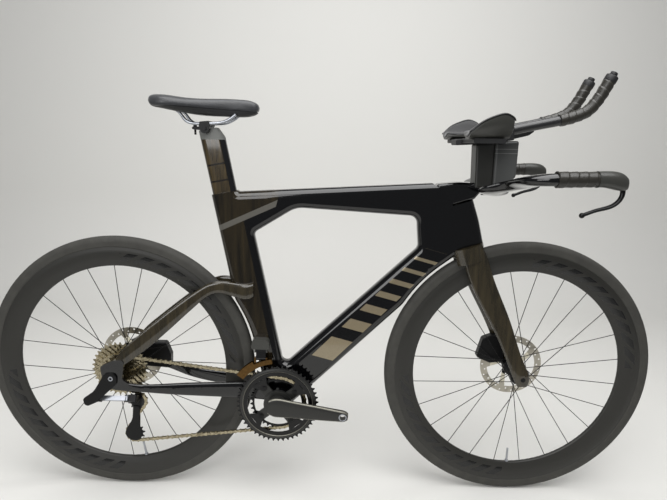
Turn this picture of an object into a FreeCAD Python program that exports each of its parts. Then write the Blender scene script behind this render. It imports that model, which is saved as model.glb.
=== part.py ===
"""Time trial bike, built piece by piece.

Millimetres. +X is forward, +Y is the rider's left, +Z is up. The origin is on the ground, midway
between the two axles. Each piece is written to parts/NAME.step.
"""
import FreeCAD
import Part

import math
import os

from FreeCAD import Vector as V

# Overall layout
WHEELBASE = 1009.0
WHEEL_RADIUS = 338.0
STAY_ROOM = 63.0
BB_FORWARD = WHEEL_RADIUS + STAY_ROOM
BB_DROP = 80.0
HEAD_TILT = 17.2
FORK_RAKE = 45.0
CROWN_ROOM = 18.5
AXLE_TO_CROWN = WHEEL_RADIUS + CROWN_ROOM
HEAD_LENGTH = 106.0
SEAT_LEAN = 10.7
SEAT_TOP_X = -127.0
SEAT_TOP_Z = 528.0

# Clearances
RUNNING_GAP = 0.05
SLIDE_GAP = 0.25
PART_GAP = 0.5

# Frame
FRAME_WIDTH = 44.0
EDGE_ROUND = 18.0
TUBE_CHORD = 63.0
TYRE_ROOM = 8.0
HEAD_NOSE = 41.0
BB_SHELL_RADIUS = 29.0
BB_SHELL_WIDTH = 86.0
DROPOUT_INSIDE = 71.5
DROPOUT_THICK = 8.0
HANGER_THICK = 4.5
STEM_CONE_LOW = 20.5
STEM_CONE_SLOPE = 0.36

# Seatpost and saddle
POST_CHORD = 58.0
POST_WIDTH = 30.0
POST_INSERTED = 115.0
POST_SHOWN = 150.0
POST_POCKET = 160.0
CLAMP_RADIUS = 11.0
CLAMP_HALF = 27.0
RAIL_RADIUS = 3.5
RAIL_SPREAD = 22.0

# Fork and cockpit
CROWN_RADIUS = 40.0
STEERER_RADIUS = 14.3
BEARING_RADIUS = 20.9
BEARING_HEIGHT = 7.0
FORK_INSIDE = 50.0
FORK_TIP_THICK = 8.0
STEM_WIDTH = 42.0
GRIP_SPREAD = 200.0
GRIP_RADIUS = 15.5
BAR_END_RADIUS = 13.0
EXTENSION_SPREAD = 50.0
EXTENSION_RADIUS = 11.0
EXTENSION_GRIP_RADIUS = 13.5
RISER_WIDTH = 52.0
CUP_HEIGHT = 149.0
CUP_THICK = 4.0
PAD_THICK = 15.0
LEVER_PIN_RADIUS = 2.0
BUTTON_RADIUS = 8.0
BUTTON_TRAVEL = 1.5

# Wheels
TYRE_WIDTH = 27.0
RIM_DEPTH = 51.0
RIM_WIDTH = 28.0
RIM_EDGE = 24.0
SPOKE_COUNT = 24
SPOKE_RADIUS = 0.9
SPOKE_CROSS_GAP = 2.2
SPOKE_SINK = 2.5
FLANGE_RADIUS = 22.0
AXLE_RADIUS = 6.0
ROTOR_RADIUS = 80.0
ROTOR_BAND = 17.0
ROTOR_THICK = 1.8
FRONT_ROTOR_Y = 35.0
REAR_ROTOR_Y = 56.0
VALVE_RADIUS = 2.6
VALVE_LENGTH = 38.0
FRONT_SPOKE_TURN = 7.5
REAR_SPOKE_TURN = 1.4
FRONT_VALVE_TURN = 0.0
REAR_VALVE_TURN = 8.9

# Drive
PITCH = 12.7
ROLLER_RADIUS = 3.85
SEAT_GAP = 0.2
TOOTH_RISE = 2.2
TOOTH_TIP_HALF = 0.9
TOOTH_THICK = 1.7
CHAIN_Y = -40.4
BIG_TEETH = 50
SMALL_TEETH = 34
RING_STEP = 7.0
RING_INSIDE = 77.0
PULLEY_TEETH = 11
CASSETTE_TEETH = [11, 12, 13, 14, 15, 17, 19, 21, 24, 27, 30, 34]
DRIVEN_COG = 21
COG_STEP = 3.6
FREEHUB_RADIUS = 17.2
CRANK_LENGTH = 165.0
CRANK_ANGLE = -6.9
CRANK_ROOM = 15.5
CRANK_THICK = 15.5
CRANK_INSIDE = BB_SHELL_WIDTH / 2 + CRANK_ROOM
CRANK_OUTSIDE = CRANK_INSIDE + CRANK_THICK
SPINDLE_RADIUS = 12.0
SPINDLE_END = CRANK_INSIDE + 9.0
CRANK_BOSS_RADIUS = 24.0
SPIDER_HUB_RADIUS = BB_SHELL_RADIUS + 7.0
SPIDER_HUB_WALL = 4.0
BOLT_CIRCLE = 55.0
PEDAL_HOLE_RADIUS = 7.14
PEDAL_BOSS_RADIUS = 11.0
PLATE_THICK = 0.72
PLATE_HALF = 4.2
INNER_GAP = 1.1
PIN_RADIUS = 1.75

# Derailleurs
LINK_SLANT = 35.0
LINK_LENGTH = 71.0
LINK_SPLIT = 10.0
LINK_THICK = 6.0
LINK_HALF_HEIGHT = 5.8
EAR_THICK = 2.3
LINK_PIN_RADIUS = 2.0
LINK_EYE = 4.5
KNUCKLE_WALL = 3.5
CAGE_HALF_GAP = 2.9
CAGE_PLATE = 1.0
GUIDE_PLACE = (43.0, -80.0)
TENSION_PLACE = (26.0, -168.0)
CAGE_PIVOT = (46.0, -70.0)
FD_TRAVEL_GAP = 5.2
FD_PLATE = 0.9

LOFT_DEGREE = 3
UP = V(0, 0, 1)
LEFT = V(0, 1, 0)
FORWARD = V(1, 0, 0)

REAR = V(-WHEELBASE / 2, 0, WHEEL_RADIUS)
FRONT = V(WHEELBASE / 2, 0, WHEEL_RADIUS)
BB = REAR + V(BB_FORWARD, 0, -BB_DROP)

TILT = math.radians(HEAD_TILT)
STEER_UP = V(-math.sin(TILT), 0, math.cos(TILT))
STEER_FORWARD = V(math.cos(TILT), 0, math.sin(TILT))
CROWN = FRONT - STEER_FORWARD * FORK_RAKE + STEER_UP * AXLE_TO_CROWN
HEAD_TOP = CROWN + STEER_UP * HEAD_LENGTH

LEAN = math.radians(SEAT_LEAN)
POST_UP = V(-math.sin(LEAN), 0, math.cos(LEAN))
POST_FORWARD = V(math.cos(LEAN), 0, math.sin(LEAN))
SEAT_TOP = BB + V(SEAT_TOP_X, 0, SEAT_TOP_Z)
CLAMP = SEAT_TOP + POST_UP * (POST_SHOWN + 2) - POST_FORWARD * 9

BIG_RING_Y = CHAIN_Y - RING_STEP
RIM_OUTER = WHEEL_RADIUS - RIM_EDGE
RIM_INNER = RIM_OUTER - RIM_DEPTH
DROPOUT_OUTSIDE = DROPOUT_INSIDE + DROPOUT_THICK
FORK_OUTSIDE = FORK_INSIDE + FORK_TIP_THICK


def rear(x, z, y=0):
    """A point measured from the rear axle."""
    return REAR + V(x, y, z)


def front(x, z, y=0):
    """A point measured from the front axle."""
    return FRONT + V(x, y, z)


def bracket(x, z, y=0):
    """A point measured from the bottom bracket's centre."""
    return BB + V(x, y, z)


def steer(s, p, y=0):
    """A point s up the steering axis from the crown, and p ahead of that axis."""
    return CROWN + STEER_UP * s + STEER_FORWARD * p + V(0, y, 0)


def cockpit(x, z, y=0):
    """A point measured from the top of the head tube."""
    return HEAD_TOP + V(x, y, z)


def post(u, v, y=0):
    """A point u up the seatpost from its collar, and v ahead of the post's middle."""
    return SEAT_TOP + POST_UP * u + POST_FORWARD * v + V(0, y, 0)


def saddle(x, z, y=0):
    """A point measured from the saddle clamp."""
    return CLAMP + V(x, y, z)


def polar(centre, radius, degrees, y=0):
    """A point on a circle in the side view, from forward and turning upwards."""
    angle = math.radians(degrees)
    return centre + V(radius * math.cos(angle), y, radius * math.sin(angle))


def cylinder(radius, start, end):
    return Part.makeCylinder(radius, (end - start).Length, start, end - start)


def across(radius, centre, y_low, y_high):
    """A cylinder across the bike, between two y values."""
    return cylinder(radius, V(centre.x, y_low, centre.z), V(centre.x, y_high, centre.z))


def rounded(corners):
    """A closed wire through (point, radius) corners, each rounded as far as its two sides allow."""
    entries, exits, middles = [], [], []
    count = len(corners)
    halves, wanted = [], []
    for i, (point, radius) in enumerate(corners):
        before = corners[i - 1][0] - point
        after = corners[(i + 1) % count][0] - point
        halves.append(before.getAngle(after) / 2)
        wanted.append(radius / math.tan(halves[i]))
    for i, (point, _) in enumerate(corners):
        before = corners[i - 1][0] - point
        after = corners[(i + 1) % count][0] - point
        fit = 1.0
        for side, other in ((before, i - 1), (after, (i + 1) % count)):
            if wanted[i] + wanted[other] > side.Length:
                fit = min(fit, 0.99 * side.Length / (wanted[i] + wanted[other]))
        before.normalize()
        after.normalize()
        half = halves[i]
        reach = fit * wanted[i]
        radius = reach * math.tan(half)
        bisector = before + after
        bisector.normalize()
        entries.append(point + before * reach)
        exits.append(point + after * reach)
        middles.append(point + bisector * (radius / math.sin(half) - radius))
    edges = []
    for i in range(count):
        if corners[i][1] > 0:
            edges.append(Part.Arc(entries[i], middles[i], exits[i]).toShape())
        following = entries[(i + 1) % count]
        if (following - exits[i]).Length > 1e-6:
            edges.append(Part.LineSegment(exits[i], following).toShape())
    return Part.Wire(edges)


def plate(corners, y_low, y_high):
    """A plate across the bike, from a rounded outline in the side view."""
    face = Part.Face(rounded(corners))
    face.translate(V(0, y_low, 0))
    return face.extrude(V(0, y_high - y_low, 0))


def soften(shape, radius, planes):
    """Round the edges that lie in planes of constant y."""
    chosen = []
    for edge in shape.Edges:
        ys = [vertex.Point.y for vertex in edge.Vertexes]
        if any(all(abs(y - plane) < 1e-4 for y in ys) for plane in planes):
            chosen.append(edge)
    return shape.makeFillet(radius, chosen)


def turned(profile, centre):
    """A solid of revolution about a line across the bike, from (radius, y, corner radius) points."""
    corners = [(V(r, y, 0), round_radius) for r, y, round_radius in profile]
    solid = Part.Face(rounded(corners)).revolve(V(0, 0, 0), LEFT, 360)
    solid.translate(centre)
    return solid


def oval(centre, u, v, half_u, half_v, power=2.4, count=16):
    """A closed smooth wire: a superellipse with half widths along u and v."""
    points = []
    for i in range(count):
        angle = 2 * math.pi * i / count
        cos, sin = math.cos(angle), math.sin(angle)
        along = math.copysign(abs(cos) ** (2 / power), cos)
        beside = math.copysign(abs(sin) ** (2 / power), sin)
        points.append(centre + u * (half_u * along) + v * (half_v * beside))
    return closed_curve(points)


def closed_curve(points):
    curve = Part.BSplineCurve()
    curve.interpolate(Points=points, PeriodicFlag=True)
    return Part.Wire([curve.toShape()])


def loft(wires, ruled=False):
    return Part.makeLoft(wires, True, ruled, False, LOFT_DEGREE)


def swept(points, radii, side=LEFT):
    """A smooth bar through points in a plane; each radius is (across, in the plane)."""
    wires = []
    for i, point in enumerate(points):
        tangent = points[min(i + 1, len(points) - 1)] - points[max(i - 1, 0)]
        tangent.normalize()
        wires.append(oval(point, side, tangent.cross(side), radii[i][0], radii[i][1], 2.0))
    return loft(wires)


def mirrored(shape):
    return shape.mirror(V(0, 0, 0), LEFT)


def pair(shape):
    """The piece and its mirror image on the other side of the bike."""
    return [shape, mirrored(shape)]


def largest(shape):
    return max(shape.Solids, key=lambda solid: solid.Volume)


def export(name, shapes):
    solids = [solid for shape in shapes for solid in shape.Solids]
    Part.makeCompound(solids).exportStep("parts/" + name + ".step")


def steer_box(s_low, s_high, p_low, p_high):
    """A block in the steering axis's own directions, wider than the frame."""
    wide = 200.0
    base = Part.makePolygon([
        steer(s_low, p_low, -wide), steer(s_high, p_low, -wide),
        steer(s_high, p_high, -wide), steer(s_low, p_high, -wide),
        steer(s_low, p_low, -wide)])
    return Part.Face(base).extrude(V(0, 2 * wide, 0))


def stem_bowl(extra):
    """The cone about the steering axis in which the stem's tail turns."""
    tall = 90.0
    low = STEM_CONE_LOW + extra
    return Part.makeCone(low, low + STEM_CONE_SLOPE * tall, tall, HEAD_TOP, STEER_UP)


def post_prism(chord, width, u_low, u_high):
    """A length of the seatpost's rounded section."""
    corner = width / 2 - 0.2
    corners = []
    for v, y in [(-1, -1), (1, -1), (1, 1), (-1, 1)]:
        corners.append((post(u_low, v * chord / 2, y * width / 2), corner))
    return Part.Face(rounded(corners)).extrude(POST_UP * (u_high - u_low))


def frame_main():
    """Top, down, seat and head tubes and bottom bracket shell, moulded in one with rounded edges."""
    stub = 70.0
    back = TUBE_CHORD / 2
    stub_round = 22.0
    front_arc = WHEEL_RADIUS + TYRE_ROOM
    rear_arc = WHEEL_RADIUS + TYRE_ROOM - 1
    outer = [
        (post(stub, -back), stub_round),
        (post(stub, back), stub_round),
        (post(-3, back), 8.0),
        (steer(HEAD_LENGTH + 44, HEAD_NOSE - 3), 19.0),
        (steer(HEAD_LENGTH / 2, HEAD_NOSE + 1), 200.0),
        (steer(-24, HEAD_NOSE - 3), 19.0),
        (steer(-17, -33.8), 19.0),
        (polar(FRONT, front_arc / math.cos(math.radians(10)), 137.5), front_arc),
        (polar(FRONT, front_arc, 149.43), 80.0),
        (bracket(-17.7, -66), 36.0),
        (polar(REAR, rear_arc / math.cos(math.radians(9.3)), 21.2), rear_arc),
        (post(-264, -back), 40.0),
    ]
    window = [
        (post(-107.6, 49.9), 14.0),
        (post(-65.2, 161.7), 60.0),
        (steer(HEAD_LENGTH - 2, -99), 20.0),
        (steer(29, -115), 16.0),
        (bracket(11.6, 87.2), 12.0),
    ]
    half = FRAME_WIDTH / 2
    face = Part.makeFace([rounded(outer), rounded(window)], "Part::FaceMakerBullseye")
    face.translate(V(0, -half, 0))
    body = soften(face.extrude(V(0, FRAME_WIDTH, 0)), EDGE_ROUND, (-half, half))
    body = body.fuse(across(BB_SHELL_RADIUS, BB, -BB_SHELL_WIDTH / 2, BB_SHELL_WIDTH / 2))
    cuts = [
        post_prism(TUBE_CHORD + 30, FRAME_WIDTH + 20, 0, stub + 20),
        post_prism(POST_CHORD + 2 * SLIDE_GAP, POST_WIDTH + 2 * SLIDE_GAP, -POST_POCKET, 1),
        across(BEARING_RADIUS, BB, -BB_SHELL_WIDTH, BB_SHELL_WIDTH),
        cylinder(CROWN_RADIUS + 2 * PART_GAP, steer(-60, 0), CROWN),
        cylinder(STEERER_RADIUS + 2, steer(-1, 0), steer(HEAD_LENGTH + 1, 0)),
        cylinder(BEARING_RADIUS, CROWN, steer(BEARING_HEIGHT, 0)),
        cylinder(BEARING_RADIUS, steer(HEAD_LENGTH - BEARING_HEIGHT, 0), HEAD_TOP),
        stem_bowl(PART_GAP),
        steer_box(HEAD_LENGTH, HEAD_LENGTH + 120, -12, 120),
    ]
    return body.cut(Part.makeCompound(cuts)).removeSplitter()


def stay(ahead, behind):
    """A left stay: a loft through upright sections (x, middle y, half width, low z, high z).

    The first are measured from the bottom bracket, the others from the rear axle.
    """
    wires = []
    for origin, stations in ((BB, ahead), (REAR, behind)):
        for x, y, half, low, high in stations:
            middle = origin + V(x, y, (low + high) / 2)
            wires.append(oval(middle, LEFT, UP, half, (high - low) / 2, 3.0))
    return loft(wires)


def chain_stay(frame):
    """Left chain stay with its dropout plate and axle hole."""
    end = DROPOUT_INSIDE + DROPOUT_THICK / 2
    half = DROPOUT_THICK / 2
    bar = stay(
        [(-27, 26, 9, 0, 50), (-81, 27, 8.5, 5.5, 50), (-161, 37, 8, 14, 52)],
        [(140, 56, 7, -52, -24), (80, end - 2.6, half + 0.8, -39, -19), (45, end, half, -35, -15),
         (8, end, half, -31, -10)])
    tip = plate([
        (rear(-25, 30), 9), (rear(-22, -8), 9), (rear(2, -30), 8), (rear(42, -34.5), 5),
        (rear(42, -15.5), 5), (rear(26, -4), 9), (rear(34, 46), 7), (rear(8, 46), 9)],
        DROPOUT_INSIDE, DROPOUT_OUTSIDE)
    bar = bar.cut(frame).fuse(tip)
    return bar.cut(across(AXLE_RADIUS, REAR, 0, 2 * DROPOUT_OUTSIDE)).removeSplitter()


def seat_stay(frame, dropout):
    """Left seat stay, from the seat tube's side to the dropout."""
    end = DROPOUT_INSIDE + DROPOUT_THICK / 2
    half = DROPOUT_THICK / 2
    bar = stay(
        [(-59, 25, 7, 276, 312), (-116, 26, 7, 278, 311.5), (-165, 30, 7, 279, 309),
         (-197, 34, 7, 255, 291)],
        [(99, 55, 6, 81, 131), (42, 71, half, 39, 83), (14, end, half - 0.6, 20, 52)])
    return largest(bar.cut(frame).cut(dropout))


def hanger():
    """Plate outside the right dropout that carries the rear derailleur."""
    body = plate([
        (rear(15, 13), 12), (rear(13, -14), 10), (rear(-38, -62), 9), (rear(-68, -76), 9),
        (rear(-72, -54), 9), (rear(-44, -34), 20), (rear(-14, 13), 12)],
        -DROPOUT_OUTSIDE - HANGER_THICK, -DROPOUT_OUTSIDE)
    return body.cut(across(AXLE_RADIUS, REAR, -2 * DROPOUT_OUTSIDE, 0))


def axle(centre, y_low, y_high, head):
    """Thru-axle with a flanged head on the left."""
    rod = across(AXLE_RADIUS, centre, y_low, y_high)
    cap = across(AXLE_RADIUS + 3, centre, y_high, y_high + head)
    socket = across(AXLE_RADIUS / 2, centre, y_high + head / 2, y_high + head + 1)
    return rod.fuse(cap).cut(socket).removeSplitter()


def ring_between(outer, inner, start, end):
    return cylinder(outer, start, end).cut(cylinder(inner, start, end))


def frame_bearings():
    """Two bottom bracket cups and two headset bearings."""
    bore = SPINDLE_RADIUS + RUNNING_GAP
    wall = BB_SHELL_WIDTH / 2
    cup = turned([(bore, wall - 11, 0.3), (BEARING_RADIUS, wall - 11, 0.3),
                  (BEARING_RADIUS, wall, 0.01), (BEARING_RADIUS + 3, wall, 0.01),
                  (BEARING_RADIUS + 2, wall + 1.5, 0.4), (bore, wall + 1.5, 0.3)], BB)
    inside = STEERER_RADIUS + RUNNING_GAP
    lower = ring_between(BEARING_RADIUS, inside, CROWN, steer(BEARING_HEIGHT, 0))
    upper = ring_between(BEARING_RADIUS, inside, steer(HEAD_LENGTH - BEARING_HEIGHT, 0), HEAD_TOP)
    return pair(cup) + [lower, upper]


def seatpost():
    """Bladed post with a cradle for the saddle clamp."""
    body = post_prism(POST_CHORD, POST_WIDTH, -POST_INSERTED, POST_SHOWN)
    nose = plate([(post(POST_SHOWN - 32, 32), 0), (post(POST_SHOWN + 20, 32), 0),
                  (post(POST_SHOWN + 20, 4), 0)], -POST_WIDTH, POST_WIDTH)
    cradle = across(CLAMP_RADIUS, CLAMP, -POST_WIDTH, POST_WIDTH)
    return body.cut(nose).cut(cradle)


def rail(y):
    """One saddle rail, bent down to the clamp and up into the shell at both ends."""
    points = [saddle(-62, 38, y), saddle(-50, 26, y), saddle(-32, 12, y), saddle(-18, 10.5, y),
              saddle(6, 11, y), saddle(36, 13, y), saddle(52, 18, y), saddle(72, 32, y)]
    return swept(points, [(RAIL_RADIUS, RAIL_RADIUS)] * len(points))


def saddle_clamp(rails, seat_post):
    """Clamp barrel across the post head, its rear ear, and the bolts."""
    barrel = across(CLAMP_RADIUS, CLAMP, -CLAMP_HALF, CLAMP_HALF)
    saddle_top = plate([(saddle(-13, 2), 3), (saddle(13, 5), 3), (saddle(11, 17), 3),
                        (saddle(-11, 15), 3)], -CLAMP_HALF, CLAMP_HALF)
    ear = plate([(saddle(-34, -2), 2.5), (saddle(0, -5), 2.5), (saddle(0, 5), 2.5),
                 (saddle(-34, 4), 2.5)], -6, 6)
    tools = Part.makeCompound(rails + [seat_post])
    clamp = barrel.fuse(saddle_top).fuse(ear).cut(tools).removeSplitter()
    bolt = cylinder(2.5, saddle(-28, -14), saddle(-28, 10))
    bolt = bolt.fuse(cylinder(4.2, saddle(-28, 4.2), saddle(-28, 8)))
    side = across(4.5, CLAMP, CLAMP_HALF, CLAMP_HALF + 3)
    return [clamp.cut(bolt), bolt.cut(seat_post), side, mirrored(side)]


def saddle_body():
    """Short saddle: lofted across sections of (x, half width, top, bottom)."""
    shape = [(0, 1), (0.45, 0.985), (0.78, 0.9), (0.95, 0.72), (1, 0.46), (0.95, 0.2),
             (0.82, 0.04), (0.45, 0)]
    wires = []
    for x, half, top, low in [(-121, 38, 70, 58), (-108, 58, 73, 46), (-80, 66, 72, 41),
                              (-40, 55, 67, 34), (0, 40, 65.5, 30), (50, 27, 66, 28),
                              (95, 22, 64, 28), (114, 17, 59, 33), (122, 9, 54, 42)]:
        right = [saddle(x, low + f * (top - low), -half * s) for s, f in shape]
        left = [saddle(x, low + f * (top - low), half * s) for s, f in shape[:0:-1]]
        wires.append(closed_curve(right + [saddle(x, low + 1, 0)] + left))
    return loft(wires)


def split_saddle():
    """The moulded shell below the seam, and the padded cover above it."""
    body = saddle_body()
    below = plate([(saddle(-200, 20), 0), (saddle(200, 0), 0), (saddle(200, 33), 0),
                   (saddle(-200, 54), 0)], -120, 120)
    return body.common(below), body.cut(below)


def fork():
    """Two bladed legs, crown and steerer; the tyre's space is cut out."""
    end = FORK_INSIDE + FORK_TIP_THICK / 2
    half = FORK_TIP_THICK / 2
    wires = []
    from_crown = [(-5.25, -23.6, 36.4, 22, 11), (-35.25, -9.6, 50.4, 24.5, 10), (-91.25, 10.4, 71.4, 29, 8.5)]
    from_axle = [(141, -87, -36, 39.5, 7), (68, -51, -10, 48, 5.5), (10, -27, 15, end, half),
                 (-18, -12, 12, end, half)]
    for origin, stations in ((CROWN, from_crown), (FRONT, from_axle)):
        for z, back, ahead, y, thick in stations:
            centre = origin + V((back + ahead) / 2, y, z)
            wires.append(oval(centre, FORWARD, LEFT, (ahead - back) / 2, thick, 2.6))
    leg = loft(wires)
    below = 40.0
    crown = cylinder(CROWN_RADIUS, steer(-below, 0), CROWN - STEER_UP * PART_GAP)
    relief = cylinder(3 * CROWN_RADIUS, steer(-below, 0), steer(60, 0))
    relief = relief.cut(cylinder(CROWN_RADIUS, steer(-below - 1, 0), steer(61, 0)))
    relief = relief.common(steer_box(-below, 60, -200, 8))
    over = steer_box(-PART_GAP, 200, -200, 200)
    body = crown.multiFuse(pair(leg)).cut(relief).cut(over)
    room = FORK_TIP_THICK + TYRE_WIDTH / 2 - 1.5
    body = body.cut(across(WHEEL_RADIUS + TYRE_ROOM, FRONT, -room, room))
    steerer = cylinder(STEERER_RADIUS, steer(-12, 0), steer(HEAD_LENGTH + 40, 0))
    seat = across(AXLE_RADIUS + 5, FRONT, FORK_OUTSIDE - 0.2, 2 * FORK_OUTSIDE)
    hole = across(AXLE_RADIUS, FRONT, -2 * FORK_OUTSIDE, 2 * FORK_OUTSIDE)
    return body.fuse(steerer).cut(Part.makeCompound([seat, mirrored(seat), hole])).removeSplitter()


def stem():
    """Stem over the head tube, with a tail that turns in the top tube's bowl."""
    half = STEM_WIDTH / 2
    low = HEAD_LENGTH + PART_GAP
    body = plate([
        (cockpit(-62, 46), 10), (cockpit(0, 52), 60), (cockpit(44, 51), 12), (cockpit(60, 38), 10),
        (steer(low, HEAD_NOSE), 6), (steer(low, -22), 6)], -half, half)
    body = soften(body, 8, (-half, half))
    keep = stem_bowl(0).fuse(steer_box(low, low + 100, -4, 120))
    body = body.common(keep)
    return body.cut(cylinder(STEERER_RADIUS, HEAD_TOP, steer(HEAD_LENGTH + 40, 0))).removeSplitter()


def base_bar(stem_body):
    """Wing-shaped base bar that turns forward into a round grip on each side."""
    wires = []
    for y, back, ahead, z, thick in [(0, 34, 104, 34, 13), (45, 38, 106, 36, 11.5),
                                     (100, 58, 130, 52, 10), (148, 84, 148, 65, 11)]:
        wires.append(oval(cockpit((back + ahead) / 2, z, y), FORWARD, UP, (ahead - back) / 2, thick, 2.1))
    diagonal = V(1, -1, 0)
    diagonal.normalize()
    wires.append(oval(cockpit(127, 71, GRIP_SPREAD - 13), diagonal, UP, 20, 12.5, 2.0))
    inward = V(0, -1, 0)
    straight = [(152, 73, 1.5), (172, 73.5, 0.5), (190, 74, 0), (208, 74.4, 0), (226, 74.8, 0),
                (244, 75.1, 0), (262, 75.5, 0)]
    for x, z, wider in straight:
        middle = cockpit(x, z, GRIP_SPREAD)
        wires.append(oval(middle, inward, UP, BAR_END_RADIUS + wider, BAR_END_RADIUS, 2.0))
    half = loft(wires)
    return half.fuse(mirrored(half)).cut(stem_body).removeSplitter()


def grip_tape(bar):
    """Left tape sleeve on the base bar's grip."""
    places = [(150, 73, 1.5), (172, 73.5, 0.5), (200, 74.1, 0), (227.5, 74.6, 0)]
    points = [cockpit(x, z, GRIP_SPREAD) for x, z, _ in places]
    sleeve = swept(points, [(GRIP_RADIUS + wider, GRIP_RADIUS) for _, _, wider in places])
    return sleeve.cut(bar)


LEVER_PIVOT = cockpit(279, 72, GRIP_SPREAD)


def brake_hood(bar, tape):
    """Left hood on the bar's end, slotted for the lever and holding its pin."""
    wires = []
    for x, z, half_y, half_z in [(228, 74.6, GRIP_RADIUS + 1, GRIP_RADIUS + 1), (245, 75, 16.5, 16.5),
                                 (262, 73, 16.5, 18), (276, 70, 14.5, 17.5), (288, 66.5, 9, 12)]:
        wires.append(oval(cockpit(x, z, GRIP_SPREAD), LEFT, UP, half_y, half_z, 2.3))
    slot = plate([(cockpit(264.5, 40), 0), (cockpit(310, 40), 0), (cockpit(310, 80.5), 0),
                  (cockpit(264.5, 80.5), 0)], GRIP_SPREAD - 4.4, GRIP_SPREAD + 4.4)
    body = loft(wires).cut(bar).cut(tape).cut(slot)
    pin = across(LEVER_PIN_RADIUS, LEVER_PIVOT, GRIP_SPREAD - 9, GRIP_SPREAD + 9)
    return body.fuse(pin).removeSplitter()


def brake_lever():
    """Left lever: an eye on the pin, then a blade that hangs and turns back under the grip."""
    y = GRIP_SPREAD
    points = [cockpit(279.5, 70, y), cockpit(282, 54, y), cockpit(280, 38, y), cockpit(268, 24.5, y),
              cockpit(246, 16, y), cockpit(222, 8.5, y), cockpit(208, 3, y)]
    radii = [(3.8, 6), (3.9, 5.5), (5, 4.6), (6.2, 4.2), (5.6, 4), (4.6, 3.8), (4.2, 3.8)]
    blade = swept(points, radii)
    ball = Part.makeSphere(5.6, cockpit(206.5, 2.3, y), LEFT)
    eye = across(7.2, LEVER_PIVOT, y - 3.9, y + 3.9)
    body = blade.fuse(ball).fuse(eye)
    return body.cut(across(LEVER_PIN_RADIUS + RUNNING_GAP, LEVER_PIVOT, y - 20, y + 20)).removeSplitter()


EXTENSION_PATH = [(30, 156), (105, 172), (190, 190), (236, 201.5), (266, 215.5), (286, 240),
                  (300, 266), (312, 290)]


def extension_points(first=0):
    return [cockpit(x, z, EXTENSION_SPREAD) for x, z in EXTENSION_PATH[first:]]


EXTENSION_TIP = extension_points()[-1]
TIP_DIRECTION = extension_points()[-1] - extension_points()[-2]
TIP_DIRECTION.normalize()


def extension_tube():
    points = extension_points()
    return swept(points, [(EXTENSION_RADIUS, EXTENSION_RADIUS)] * len(points))


def extension(tube):
    """Left extension, bored at its tip for the shift button's stem."""
    bore = cylinder(3 + RUNNING_GAP, EXTENSION_TIP - TIP_DIRECTION * 14, EXTENSION_TIP + TIP_DIRECTION * 5)
    return tube.cut(bore)


def extension_grip(tube):
    points = [cockpit(206, 193.5, EXTENSION_SPREAD)] + extension_points(3)
    sleeve = swept(points, [(EXTENSION_GRIP_RADIUS, EXTENSION_GRIP_RADIUS)] * len(points))
    core = cylinder(3 * EXTENSION_RADIUS, EXTENSION_TIP, EXTENSION_TIP + TIP_DIRECTION * 30)
    return sleeve.cut(tube).cut(core)


def shift_button():
    """Left shift button: a domed cap on a stem that slides into the extension's tip."""
    under = EXTENSION_TIP + TIP_DIRECTION * (BUTTON_TRAVEL + 0.6)
    stem_rod = cylinder(3, EXTENSION_TIP - TIP_DIRECTION * 11, under + TIP_DIRECTION)
    cap = cylinder(BUTTON_RADIUS, under, under + TIP_DIRECTION * 6)
    cap = cap.makeFillet(2, [edge for edge in cap.Edges if len(edge.Vertexes) == 1][:1])
    return cap.fuse(stem_rod).removeSplitter()


def riser_column(seats):
    """Rear and front halves of the column that carries the extensions."""
    half = RISER_WIDTH / 2
    split = 76.0
    top = 145.0
    back = plate([(cockpit(36, 40), 3), (cockpit(split, 40), 0.5), (cockpit(split, top), 0.5),
                  (cockpit(33, top - 4), 6)], -half + 2, half - 2)
    ahead = plate([(cockpit(split, 40), 0.5), (cockpit(106, 42), 6), (cockpit(130, 66), 12),
                   (cockpit(131, top + 4), 5), (cockpit(split, top), 0.5)], -half, half)
    tools = Part.makeCompound(seats)
    return [soften(back, 5, (-half + 2, half - 2)).cut(tools), soften(ahead, 7, (-half, half)).cut(tools)]


def cup_curve(lift, inner, outer, wall):
    """Section of the arm cup: low in the middle, with an outer wall of the given height, as (y, z) points."""
    shape = [(0, 9), (0.24, 2.5), (0.5, 0), (0.78, wall / 4), (1, wall)]
    return [(inner + f * (outer - inner), CUP_HEIGHT + z + lift) for f, z in shape]


def band(x, low, high):
    """Closed section across the bike between two smooth curves of (y, z) points."""
    edges = []
    ends = []
    for points in (low, high):
        curve = Part.BSplineCurve()
        curve.interpolate([cockpit(x, z, y) for y, z in points])
        edges.append(curve.toShape())
        ends.append([cockpit(x, points[0][1], points[0][0]), cockpit(x, points[-1][1], points[-1][0])])
    near = Part.LineSegment(ends[0][0], ends[1][0]).toShape()
    far = Part.LineSegment(ends[0][1], ends[1][1]).toShape()
    return Part.Wire(Part.__sortEdges__([edges[0], far, edges[1], near]))


def arm_cup():
    """Left arm cup: a thin curved tray."""
    wires = []
    stations = [(-12, 82, 140, 2, 10), (6, 77, 146, 0.5, 27), (30, 74, 148, 0, 40), (54, 75, 147, 0.5, 46),
                (76, 84, 139, 3, 34)]
    for x, inner, outer, lift, wall in stations:
        low = cup_curve(lift, inner, outer, wall)
        wires.append(band(x, low, cup_curve(lift + CUP_THICK, inner, outer, wall)))
    return loft(wires)


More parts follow.
